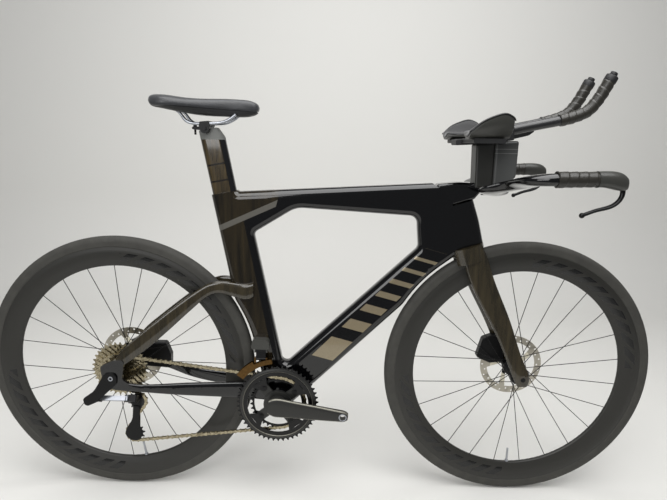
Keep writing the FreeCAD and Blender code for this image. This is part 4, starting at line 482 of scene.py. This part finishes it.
# Filled nylon: graphite grey, with a dry grain.
column, tree, shader, place = finish("graphite_moulding", "#3a3b3a", 0.42)
grain = add(tree, "TexNoise", {"Vector": place, "Scale": 1 / (1.4 * MM), "Detail": 3.0})  # 1.4 mm grain
nose = beyond(tree, place, (1, 0, 0), (NOSE_X, 0, 0))
tone = add(tree, "Mix", {0: nose, 6: linear("#2b2b28"), 7: linear("#474847")}, 2, data_type="RGBA")
height = add(tree, "VectorMath", {0: place, 1: (0, 0, 1)}, "Value", operation="DOT_PRODUCT")
for line in LINE_HEIGHTS:
    mark = within(tree, height, line, line + LINE_WIDTH)
    mark = add(tree, "Math", {0: mark, 1: nose}, operation="MULTIPLY")
    tone = add(tree, "Mix", {0: mark, 6: tone, 7: linear("#7c7d7b")}, 2, data_type="RGBA")
drive(tree, shader, Base_Color=tone,
      Normal=add(tree, "Bump", {"Height": grain, "Strength": 0.12, "Distance": 0.3 * MM}))
wear(column, "riser_column")

# Polished-mould nylon: charcoal, with a long soft highlight.
satin, tree, shader, place = finish("satin_moulding", "#353532", 0.34)
grain = add(tree, "TexNoise", {"Vector": place, "Scale": 1 / (0.9 * MM), "Detail": 3.0})  # 0.9 mm grain
tone = add(tree, "Mix", {0: grain, 6: linear("#2f2f2c"), 7: linear("#3d3d39")}, 2, data_type="RGBA")
drive(tree, shader, Base_Color=tone,
      Normal=add(tree, "Bump", {"Height": grain, "Strength": 0.1, "Distance": 0.3 * MM}))
wear(satin, "brake_hoods", "arm_cups", "front_derailleur_bracket")

# Textured nylon: matte black, without a clear highlight.
moulded, tree, shader, place = finish("matte_moulding", "#161617", 0.55)
grain = add(tree, "TexNoise", {"Vector": place, "Scale": 1 / (0.9 * MM), "Detail": 3.0})  # 0.9 mm grain
drive(tree, shader, Normal=add(tree, "Bump", {"Height": grain, "Strength": 0.25, "Distance": 0.4 * MM}))
wear(moulded, "extension_bridge", "shift_button_left", "shift_button_right", "saddle_shell",
     "guide_pulley", "tension_pulley")

# %% [markdown]
# ## Surfaces from arrays
# A soft piece could be sculpted, but a formula can be measured and changed. So it is a grid of
# points worked out in one go with numpy. The faces join each grid cell, and open ends get a fan. The
# signed volume, a sum of triple products, tells whether the faces point outwards; if it is negative
# they are all turned over. Control points are joined by Catmull-Rom curves: each span is a cubic
# whose slope at a point is half the step between that point's neighbours.

# %% Surface helpers
def smooth(points, count):
    """Catmull-Rom curve through points, sampled evenly in parameter: (count, columns)."""
    points = np.asarray(points, float)
    padded = np.vstack([2 * points[0] - points[1], points, 2 * points[-1] - points[-2]])
    t = np.linspace(0, len(points) - 1, count)
    k = np.minimum(t.astype(int), len(points) - 2)
    f = (t - k)[:, None]
    a, b, c, d = padded[k], padded[k + 1], padded[k + 2], padded[k + 3]
    return b + 0.5 * f * (c - a + f * (2 * a - 5 * b + 4 * c - d + f * (3 * (b - c) + d - a)))


def shell(name, points, faces, coat, crisp=50):
    """A smooth-shaded mesh object; edges that fold by more than `crisp` degrees stay sharp."""
    mesh = bpy.data.meshes.new(name)
    mesh.from_pydata(points.tolist(), [], faces)
    mesh.polygons.foreach_set("use_smooth", np.ones(len(mesh.polygons), bool))
    mesh.set_sharp_from_angle(angle=math.radians(crisp))
    mesh.materials.append(coat)
    piece = bpy.data.objects.new(name, mesh)
    bpy.context.scene.collection.objects.link(piece)
    print(name, len(points), "points,", len(faces), "faces")
    return piece


def skin(name, grid, body, coat, looped=False):
    """Quads over a (rings, around, 3) grid; the rings close on each other, or each end gets a fan."""
    rings, across = grid.shape[:2]
    ids = np.arange(rings * across).reshape(rings, across)
    nxt = np.roll(ids, -1, axis=1)
    points = grid.reshape(-1, 3)
    if looped:
        after, nxt_after = np.roll(ids, -1, axis=0), np.roll(nxt, -1, axis=0)
        quads = np.stack([ids, nxt, nxt_after, after], axis=-1).reshape(-1, 4)
        fans = np.empty((0, 3), int)
    else:
        quads = np.stack([ids[:-1], nxt[:-1], nxt[1:], ids[1:]], axis=-1).reshape(-1, 4)
        fans = np.concatenate([np.stack([nxt[0], ids[0], np.full(across, len(points))], axis=-1),
                               np.stack([ids[-1], nxt[-1], np.full(across, len(points) + 1)], axis=-1)])
        points = np.concatenate([points, grid[:1].mean(1), grid[-1:].mean(1)])
    corners = points[np.concatenate([quads[:, [0, 1, 2]], quads[:, [0, 2, 3]], fans])]
    if np.einsum("ij,ij->", corners[:, 0], np.cross(corners[:, 1], corners[:, 2])) < 0:
        quads, fans = quads[:, ::-1], fans[:, ::-1]
    piece = shell(name, points, quads.tolist() + fans.tolist(), coat)
    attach(piece, body)
    return piece


print("half way up a Catmull-Rom arch:", smooth([(0, 0), (1, 1), (2, 0)], 5)[1])

# %% [markdown]
# ## Padding that swells
# A padded piece starts from its shape. It could simply be rounded off, but foam under a tight cover
# bulges most where nothing holds it, and a cloth finds that by itself. A copy of the mesh is
# remeshed to even cells and blown up from inside for 20 frames, without gravity. The foam is firm,
# so no point may move further than a cap, and points that face down on the tray or shell stay put.

# %% Cloth
PRESSURE, FRAMES = 4.0, 20


def swell(piece, cell, cap):
    """Blow a piece up as cloth; each point moves at most `cap` metres, and downward faces not at all."""
    remesh = piece.modifiers.new("even_cells", "REMESH")
    remesh.mode, remesh.voxel_size = "VOXEL", cell
    scene = bpy.context.scene
    scene.frame_set(1)
    fine = bpy.data.meshes.new_from_object(piece.evaluated_get(bpy.context.evaluated_depsgraph_get()))
    piece.modifiers.remove(remesh)
    piece.data = fine
    count = len(fine.vertices)
    rest, facing, blown = np.empty(count * 3), np.empty(count * 3), np.empty(count * 3)
    fine.vertices.foreach_get("co", rest)
    fine.vertex_normals.foreach_get("vector", facing)
    cloth = piece.modifiers.new("cloth", "CLOTH")
    cloth.settings.use_pressure = True
    cloth.settings.uniform_pressure_force = PRESSURE
    cloth.settings.effector_weights.gravity = 0.0
    cloth.point_cache.frame_start, cloth.point_cache.frame_end = 1, FRAMES
    for step in range(1, FRAMES + 1):
        scene.frame_set(step)
    piece.evaluated_get(bpy.context.evaluated_depsgraph_get()).data.vertices.foreach_get("co", blown)
    piece.modifiers.remove(cloth)
    scene.frame_set(1)
    move = (blown - rest).reshape(-1, 3)
    length = np.linalg.norm(move, axis=1, keepdims=True)
    free = np.clip(facing.reshape(-1, 3)[:, 2:] * 3 + 0.3, 0, 1)  # 0 where a face looks down, 1 where up
    held = free * np.minimum(1.0, cap / np.maximum(length, 1e-9))
    fine.vertices.foreach_set("co", (rest.reshape(-1, 3) + move * held).ravel())
    fine.polygons.foreach_set("use_smooth", np.ones(len(fine.polygons), bool))
    fine.update()
    piece.modifiers.new("finer", "SUBSURF").render_levels = 1
    print(piece.name, "moved up to", round(float((length * held).max() / MM), 2), "mm")


print("cloth frames:", FRAMES)

# %% [markdown]
# ## The saddle
# A short racing saddle: foam on a shell under a thin, tight synthetic cover. A cage of a few points
# could be subdivided, but sections can be read off the photograph. They are soft arches that widen
# towards the tail. Each ring runs over the top from seam to seam and back underneath along the
# shell. The rows give x, half width, top and bottom in mm from the clamp.

# %% Saddle cover
CLAMP = np.array([-0.267565, 0.0, 0.933686])
STATIONS = [(-122.5, 26, 67, 62), (-119, 44, 71, 56), (-108, 58, 73, 47.5), (-80, 66, 72, 46),
            (-40, 55, 67, 45), (0, 40, 65.5, 43), (50, 27, 66, 40.5), (95, 22, 64, 38),
            (114, 17, 59.5, 37.5), (121, 11, 55, 41), (123.5, 5, 51, 46)]
HALF_ARCH = [(0, 1), (0.45, 0.985), (0.78, 0.9), (0.95, 0.68), (1, 0.36), (0.985, 0.1), (0.93, 0)]
UNDERSIDE = [[0.6, 0.0], [0.0, 0.0], [-0.6, 0.0]]
PAD_CELL, SADDLE_CAP = 3 * MM, 0.8 * MM
# Coated cloth, stretched: charcoal, with fine pores and a broad soft highlight.
leathercloth, tree, shader, place = finish("saddle_leathercloth", "#262729", 0.4, Sheen_Weight=0.15)
pores = add(tree, "TexVoronoi", {"Vector": place, "Scale": 1 / (1.1 * MM)}, "Distance")  # 1.1 mm pores
folds = add(tree, "TexNoise", {"Vector": place, "Scale": 1 / (8 * MM), "Detail": 4.0})  # 8 mm mottle
tone = add(tree, "Mix", {0: folds, 6: linear("#212224"), 7: linear("#303134")}, 2, data_type="RGBA")
drive(tree, shader, Base_Color=tone,
      Normal=add(tree, "Bump", {"Height": pores, "Strength": 0.2, "Distance": 0.4 * MM}))
x, half, top, bottom = smooth(STATIONS, 90).T[:, :, None]
arch = smooth(HALF_ARCH, 26)
loop = np.concatenate([arch[::-1] * [-1, 1], arch[1:], UNDERSIDE])
grid = np.stack([x + 0 * loop[:, 0], half * loop[:, 0], bottom + (top - bottom) * loop[:, 1]], axis=-1)
cover = skin("saddle_padding", CLAMP + grid * MM, "seat", leathercloth)
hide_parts("saddle_cover")
swell(cover, PAD_CELL, SADDLE_CAP)

# %% [markdown]
# ## Arm pads
# Each forearm rests on a foam pad in a deep tray whose outer wall stands up beside the arm. A
# thickened copy of the tray would be even all over, but a pad is thick in the middle. Across, the
# tray's height is a + wall b, two curves of the share f from its inner to its outer edge. The pad
# stands on that curve along its normal, as thick as a rounded bump of f. A piping runs along the top
# of the outer wall, where the cover is sewn to the tray.

# %% Arm pads
HEAD_TOP = np.array([0.324748, 0.0, 0.766509])
SIDES = (("left", 1), ("right", -1))
TRAY_HEIGHT, PAD_THICK, PAD_CAP = 153.6, 13.0, 1.5 * MM
PAD_STATIONS = [(-15, 84, 138, 2, 8), (-8, 80, 141, 1.5, 13), (8, 78, 145, 0.5, 28.5),
                (30, 76, 146.5, 0, 40), (54, 77, 145.5, 0.5, 46), (72, 83, 140, 2.5, 38),
                (80, 87, 136, 3.5, 30)]  # x, inner and outer edge, lift, height of the wall
TRAY = [(0, 9, 0), (0.24, 2.5, 0), (0.5, 0, 0), (0.78, 0, 0.25), (1, 0, 1)]  # f, a, b
PIPING, PIPING_OUT, PIPING_UP = 2.3, 0.5, 1.0  # radius, and its place beside and above the wall
# Knitted cloth on foam: black and soft, with a pale bloom at its edges.
foam, tree, shader, place = finish("foam_cloth", "#1b1b1c", 0.7, Sheen_Weight=0.3)
knit = add(tree, "TexVoronoi", {"Vector": place, "Scale": 1 / (0.9 * MM)}, "Distance")  # 0.9 mm knit
drive(tree, shader, Normal=add(tree, "Bump", {"Height": knit, "Strength": 0.3, "Distance": 0.4 * MM}))
# Coated cord: a thin black line with a clear highlight.
edging, tree, shader, place = finish("piping_cord", "#0b0b0b", 0.3)
twist = add(tree, "TexNoise", {"Vector": place, "Scale": 1 / (2 * MM), "Detail": 2.0})  # 2 mm wrinkles
drive(tree, shader, Normal=add(tree, "Bump", {"Height": twist, "Strength": 0.15, "Distance": 0.3 * MM}))


def pipe(line, radius, across):
    """Rings round a path: ring k is centred on line[k] at right angles to the path there."""
    way = np.gradient(line, axis=0)
    way /= np.linalg.norm(way, axis=1, keepdims=True)
    side = np.array([0.0, 1.0, 0.0]) - way * way[:, 1:2]
    side /= np.linalg.norm(side, axis=1, keepdims=True)
    angle = np.linspace(0, 2 * np.pi, across, endpoint=False)[None, :, None]
    spread = np.cos(angle) * side[:, None] + np.sin(angle) * np.cross(way, side)[:, None]
    return line[:, None] + np.broadcast_to(radius, (len(line), across))[..., None] * spread


x, inner, outer, lift, wall = smooth(PAD_STATIONS, 61).T[:, :, None]
share, a, b = smooth(TRAY, 161).T
v = np.linspace(0, 2 * np.pi, 96, endpoint=False)[None, :]
f = 0.5 - 0.5 * np.cos(v)
height = np.interp(f, share, a) + wall * np.interp(f, share, b)
slope = np.interp(f, share, np.gradient(a, share)) + wall * np.interp(f, share, np.gradient(b, share))
width = outer - inner
u = np.linspace(-1, 1, 61)[:, None]
bump = PAD_THICK * np.maximum(1 - np.abs(u) ** 6, 0.04) ** 0.5 * np.maximum(np.sin(v), 0) ** 0.5
steep = np.sqrt(width ** 2 + slope ** 2)
grid = np.stack([x + 0 * f, inner + width * f - bump * slope / steep,
                 TRAY_HEIGHT + lift + height + bump * width / steep], axis=-1)
edge = np.concatenate([x, outer + PIPING_OUT, TRAY_HEIGHT + lift + wall + PIPING_UP], axis=1)
piping = pipe(edge, PIPING * np.maximum(1 - np.abs(u) ** 8, 0.05) ** 0.5, 16)
for side, flip in SIDES:
    cushion = skin(side + "_arm_cushion", HEAD_TOP + grid * [1, flip, 1] * MM, "steering", foam)
    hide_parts("arm_pads")
    swell(cushion, PAD_CELL, PAD_CAP)
    cord = skin(side + "_arm_piping", HEAD_TOP + piping * [1, flip, 1] * MM, "steering", edging)

# %% [markdown]
# ## Bar tape
# Cushioned tape is wound round the grips and the extensions, each turn lapping the last, so the
# tube swells and steps once per turn. A ribbon could be wound as a strip of its own, but its laps
# would cut into each other; here the radius follows a sawtooth along a helix. Small pits let the
# tape breathe.

# %% Wound tape
TAPE_ROUND, LAP_RISE, LAP_MIDDLE = 40, 0.86, 0.55  # points round; share of a turn that rises; mean level
GRIP_PATH = [(148, 200, 72.9), (172, 200, 73.5), (200, 200, 74.1), (228, 200, 74.6)]
GRIP_RINGS, GRIP_PITCH, GRIP_STEP = 150, 19, 0.9
GRIP_SHARES, GRIP_RADII = [0, 0.3, 1], [16.6, 15.9, 15.6]
SLEEVE_PATH = [(206, 50, 193.5), (236, 50, 201.5), (266, 50, 215.5), (286, 50, 240), (300, 50, 266),
               (305.7, 50, 277.5)]
SLEEVE_RINGS, SLEEVE_PITCH, SLEEVE_STEP, SLEEVE_RADIUS = 260, 17, 1.3, 13.2
# Cushioned polyurethane tape, worn: brown-grey with a dull shine, and pits painted dark: painted shade in
# the holes.
tape, tree, shader, place = finish("cushioned_tape", "#26241f", 0.34)
dots = add(tree, "TexVoronoi", {"Vector": place, "Scale": 1 / (2.4 * MM)}, "Distance")  # 2.4 mm apart
pit_and_painted_shade = add(tree, "MapRange", {"Value": dots, "From Min": 0.12, "From Max": 0.3})
# the pits are painted darker: painted shade in the holes
tone = add(tree, "Mix", {0: pit_and_painted_shade, 6: linear("#131210"), 7: linear("#292722")}, 2, data_type="RGBA")
drive(tree, shader, Base_Color=tone,
      Normal=add(tree, "Bump", {"Height": pit_and_painted_shade, "Strength": 0.4, "Distance": 0.5 * MM}))


def wound(path, radius, pitch, step):
    """A pipe along an x, y, z path in mm: its radius rises by `step` over each turn and drops back."""
    line = smooth(path, len(radius))
    length = np.concatenate([[0], np.cumsum(np.linalg.norm(np.diff(line, axis=0), axis=1))])
    turns = (length[:, None] / pitch - np.linspace(0, 1, TAPE_ROUND, endpoint=False)) % 1.0
    lap = np.where(turns < LAP_RISE, turns / LAP_RISE, (1 - turns) / (1 - LAP_RISE))
    return HEAD_TOP + pipe(line, radius[:, None] + step * (lap - LAP_MIDDLE), TAPE_ROUND) * MM


grip_radius = np.interp(np.linspace(0, 1, GRIP_RINGS), GRIP_SHARES, GRIP_RADII)
grip = wound(GRIP_PATH, grip_radius, GRIP_PITCH, GRIP_STEP)
sleeve = wound(SLEEVE_PATH, np.full(SLEEVE_RINGS, SLEEVE_RADIUS), SLEEVE_PITCH, SLEEVE_STEP)
for name, node, shape in (("grip_tape", "grip_tape", grip), ("sleeve_tape", "extension_grips", sleeve)):
    for side, flip in SIDES:
        wrap = skin(side + "_" + name, shape * [1, flip, 1], "steering", tape)
        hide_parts(node)

# %% [markdown]
# A smooth moulded collar ends the tape on each extension. It could be a cylinder with a bevel, but
# turning a profile of (radius, height) gives the rounded lip and the bore in one go, and the same
# lathe serves the small fittings further on.

# %% End collars
COLLAR = [(11.1, -14), (13.2, -14), (13.6, -13), (13.6, -2.5), (13.0, -1.0), (12.0, -0.3), (11.1, -0.3)]
COLLAR_PLACE, EXTENSION_WAY = np.array([312, 50, 290]), (0.447, 0, 0.894)
LATHE_ROUND = 48


def lathe(profile, centre, axis):
    """A profile of (radius, height) in mm, turned about an axis through a centre."""
    axis = np.asarray(axis, float) / np.linalg.norm(axis)
    first = np.cross(axis, [0.0, 1.0, 0.0] if abs(axis[1]) < 0.9 else [1.0, 0.0, 0.0])
    first /= np.linalg.norm(first)
    angle = np.linspace(0, 2 * np.pi, LATHE_ROUND, endpoint=False)[None, :, None]
    radius, height = np.asarray(profile, float).T[:, :, None, None] * MM
    return centre + axis * height + radius * (np.cos(angle) * first + np.sin(angle) * np.cross(axis, first))


collar = lathe(COLLAR, HEAD_TOP + COLLAR_PLACE * MM, EXTENSION_WAY)
for side, flip in SIDES:
    ring = skin(side + "_end_collar", collar * [1, flip, 1], "steering", moulded, looped=True)

# %% [markdown]
# ## The chain at the derailleur
# The chain's upper run stays with the frame, and the links on the two pulleys are cut away from it.
# New links could be laid along a new path. The imported mesh already holds them all, so it is split
# instead. Each link is an island of that mesh. To find the islands, every point takes the lowest
# number among the points it shares an edge with, again and again, until each island has one number.
# Links whose middle lies near the line between the pulleys make one piece, and so does the rear end
# of the lower run. The front of the lower run makes a piece of its own. Only the upper run is
# attached to the frame; the other two stay where they are.

# %% Chain in three pieces
GUIDE, TENSION, REACH = np.array([-0.46076, 0.25781]), np.array([-0.47128, 0.16880]), 29 * MM
BEND_FRONT, BEND_BACK = (-0.342, -0.04, 0.161), (-0.395, -0.04, 0.214)
LEAN_FRONT, LEAN_BACK, LOW_SPLIT = (-0.165, -0.04, 0.16), (-0.526, -0.04, 0.16), -0.29
WELD, LINK_CRISP = 0.001 * MM, 35
whole = bmesh.new()
whole.from_mesh(nodes["chain"].data)
bmesh.ops.remove_doubles(whole, verts=whole.verts, dist=WELD)
links = bpy.data.meshes.new("links")
whole.to_mesh(links)
whole.free()
points, ends = np.empty(len(links.vertices) * 3), np.empty(len(links.edges) * 2, np.int32)
corners = np.empty(len(links.loops), np.int32)
links.vertices.foreach_get("co", points)
links.edges.foreach_get("vertices", ends)
links.loops.foreach_get("vertex_index", corners)
bpy.data.meshes.remove(links)
points, ends, corners = points.reshape(-1, 3), ends.reshape(-1, 2), corners.reshape(-1, 3)
label, before = np.arange(len(points)), None
while before is None or (label != before).any():
    before = label.copy()
    lowest = label[ends].min(axis=1)
    np.minimum.at(label, ends[:, 0], lowest)
    np.minimum.at(label, ends[:, 1], lowest)
    label = label[label]
count = np.maximum(np.bincount(label, minlength=len(points)), 1)
middle = np.stack([np.bincount(label, points[:, k], len(points)) / count for k in (0, 2)], axis=-1)[label]
cage_way = TENSION - GUIDE
share = np.clip((middle - GUIDE) @ cage_way / (cage_way @ cage_way), 0, 1)[:, None]
low = (middle[:, 0] < LEAN_FRONT[0]) & (middle[:, 1] < GUIDE[1] - REACH)
on_cage = np.linalg.norm(middle - GUIDE - share * cage_way, axis=1) < REACH
on_cage |= low & (middle[:, 0] < LOW_SPLIT)
low &= ~on_cage
for name, held, bend in (("chain_run", ~on_cage & ~low, None),
                         ("chain_lower", low, ("frame", "outer_link", LEAN_FRONT, LEAN_BACK)),
                         ("chain_loop", on_cage, ("knuckle", "cage", BEND_FRONT, BEND_BACK))):
    used, faces = np.unique(corners[held[corners[:, 0]]], return_inverse=True)
    piece = shell(name, points[used], faces.reshape(-1, 3).tolist(), nickel, LINK_CRISP)
    if bend:
        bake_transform(piece)
    else:
        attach(piece, "frame")
    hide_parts("chain")
    print(name, "links:", len(np.unique(label[held])))

# %% [markdown]
# ## Small fittings
# Turned rings and caps: a bright washer round each pedal thread, a cap in the left crank's end, the
# bright lip of the rear axle, and the raised rim of the big chainring, whose slopes catch the light
# in a ring and, in the crank's finish, are also painted pale: a painted highlight. Painted rings would
# stay flat in that light, so all of them are lathe work. Each profile closes on itself but the cap's,
# which ends near its axis.

# %% Fittings
WASHER = [(7.5, -0.5), (9.8, -0.5), (9.8, 0.25), (9.4, 0.45), (7.9, 0.45), (7.5, 0.2)]
LIP = [(3.2, -0.4), (5.8, -0.4), (5.8, 0.4), (5.3, 0.7), (3.7, 0.7), (3.2, 0.4)]
CAP = [(10.5, -0.5), (10.5, 0.6), (9.8, 1.2), (4.5, 1.2), (4.0, 0.2), (0.2, 0.2)]
RIM = [(87.0, -0.5), (87.5, 1.0), (89.5, 2.0), (91.5, 2.0), (95.5, 0.3), (95.5, -0.5)]
LEFT, RIGHT = (0, 1, 0), (0, -1, 0)
for name, profile, centre, axis, body, coat, slot in (
        ("right_pedal_washer", WASHER, (0.0603, -0.074, 0.2382), RIGHT, "crankset", silver, "alloy"),
        ("left_pedal_washer", WASHER, (-0.2673, 0.074, 0.2778), LEFT, "crankset", silver, "alloy"),
        ("left_crank_cap", CAP, (-0.1035, 0.074, 0.258), LEFT, "crankset", anodised, "black_metal"),
        # the rim's slopes take the forged finish's pale tone: a painted highlight round the ring
        ("chainring_rim", RIM, (-0.1035, -0.0484, 0.258), RIGHT, "crankset", forged, "black_metal"),
        ("rear_axle_lip", LIP, (-0.5045, -0.084, 0.338), RIGHT, "frame", silver, "alloy")):
    turning = lathe(profile, np.array(centre), axis)
    skin(name, turning, body, coat, looped=profile is not CAP)

# %% [markdown]
# ## The cage's cover
# A broad black cover lies on the outside of the derailleur's cage, narrow in the middle and wide over
# the lower pulley. A flat outline could be thickened and bevelled, but its face would mirror the
# light all at once. Here each ring is a flat ellipse across the cage, so the face swells a little.
# The outline's rows give the distance down from the upper pulley, the shift to the front and the
# half width, in mm.

# %% Cage cover
COVER = [(12, 0, 4), (16, 0, 8.5), (34, 0, 8.5), (50, 0, 9.5), (66, -1.5, 14), (80, -3, 19.5),
         (92, -3, 21), (102, -2, 18), (109, -1, 9)]
COVER_MIDDLE, COVER_BULGE = -45.6 * MM, 1.3 * MM  # across the bike, on the cage's outer plate
angle = np.linspace(0, 2 * np.pi, 40, endpoint=False)
along, shift, half = smooth(COVER, 48).T[:, :, None] * MM
across = shift + half * np.sin(angle)
downward = cage_way / np.linalg.norm(cage_way)
cover_x = GUIDE[0] + along * downward[0] - across * downward[1]
cover_z = GUIDE[1] + along * downward[1] + across * downward[0]
cover_y = np.broadcast_to(COVER_MIDDLE - COVER_BULGE * np.cos(angle), across.shape)
cage_cover = skin("cage_cover", np.stack([cover_x, cover_y, cover_z], axis=-1), "cage", anodised)

# %% [markdown]
# ## Floor and light
# A pale floor that runs up into a backdrop, a large soft lamp overhead and a weaker one from the
# camera's side. A bright world would be simpler, but the black lacquer would mirror it. So the floor
# ends just in front of the bike and the world is dim, and the lacquer stays black and mirrors little
# besides the lamps. The backdrop is clear from behind, so a camera on the far side looks through it.

# %% Floor
FLOOR_FRONT, CURVE_START, CURVE, WALL_TOP, HALF_LENGTH = -1.0, 1.4, 0.6, 4.0, 6.0
FLOOR_DROP = 0.5 * MM  # just below the tyres
quarter = np.linspace(0, np.pi / 2, 12)
curve = np.stack([CURVE_START + CURVE * np.sin(quarter), CURVE - CURVE * np.cos(quarter)], axis=-1)
profile = np.concatenate([[[FLOOR_FRONT, 0]], curve, [[CURVE_START + CURVE, WALL_TOP]]])
n = len(profile)
points = np.concatenate([np.column_stack([np.full(n, x), profile[:, 0], profile[:, 1] - FLOOR_DROP])
                         for x in (-HALF_LENGTH, HALF_LENGTH)])
row = np.arange(n - 1)
faces = np.stack([row, row + n, row + n + 1, row + 1], axis=-1)
# Matte wall paint: a warm pale grey that takes soft shadows.
paint, tree, shader, _ = finish("floor_paint", "#dddcd8", 0.7)
back_side = add(tree, "NewGeometry", out="Backfacing")
drive(tree, shader, Alpha=add(tree, "Math", {0: 1.0, 1: back_side}, operation="SUBTRACT"))
floor = shell("studio_floor", points, faces.tolist(), paint)

# %% [markdown]
# Each lamp looks from its place at a point on the bike. A constraint could aim it, but the matrix
# that set up the camera does so for good: away from the aim is the lamp's own +Z.

# %% Lamps and world
WORLD_GREY, WORLD_STRENGTH = "#c8cacd", 0.3
for name, spot, aim, size, power in (("overhead", (0.2, -0.6, 2.6), (0, 0, 0.4), 2.4, 90),
                                     ("front_fill", (-1.2, -2.6, 1.6), (0, 0, 0.5), 1.6, 35)):
    lamp = bpy.data.objects.new(name, bpy.data.lights.new(name, "AREA"))
    lamp.data.size = size
    lamp.data.energy = power
    bpy.context.scene.collection.objects.link(lamp)
    away = np.subtract(spot, aim) / np.linalg.norm(np.subtract(spot, aim))
    beside = np.cross([0, 0, 1], away)
    beside /= np.linalg.norm(beside)
    lamp.matrix_world = standing(beside, np.cross(away, beside), away, spot)
    print(name, power, "W from", spot)
world = bpy.data.worlds.new("studio")
bpy.context.scene.world = world
world.use_nodes = True
world.node_tree.nodes["Background"].inputs["Color"].default_value = linear(WORLD_GREY)
world.node_tree.nodes["Background"].inputs["Strength"].default_value = WORLD_STRENGTH
bpy.context.scene.view_settings.view_transform = "Standard"

# %% [markdown]
# ## The end
# Dressing must not make the bike larger.

# %% The end
print("the end")
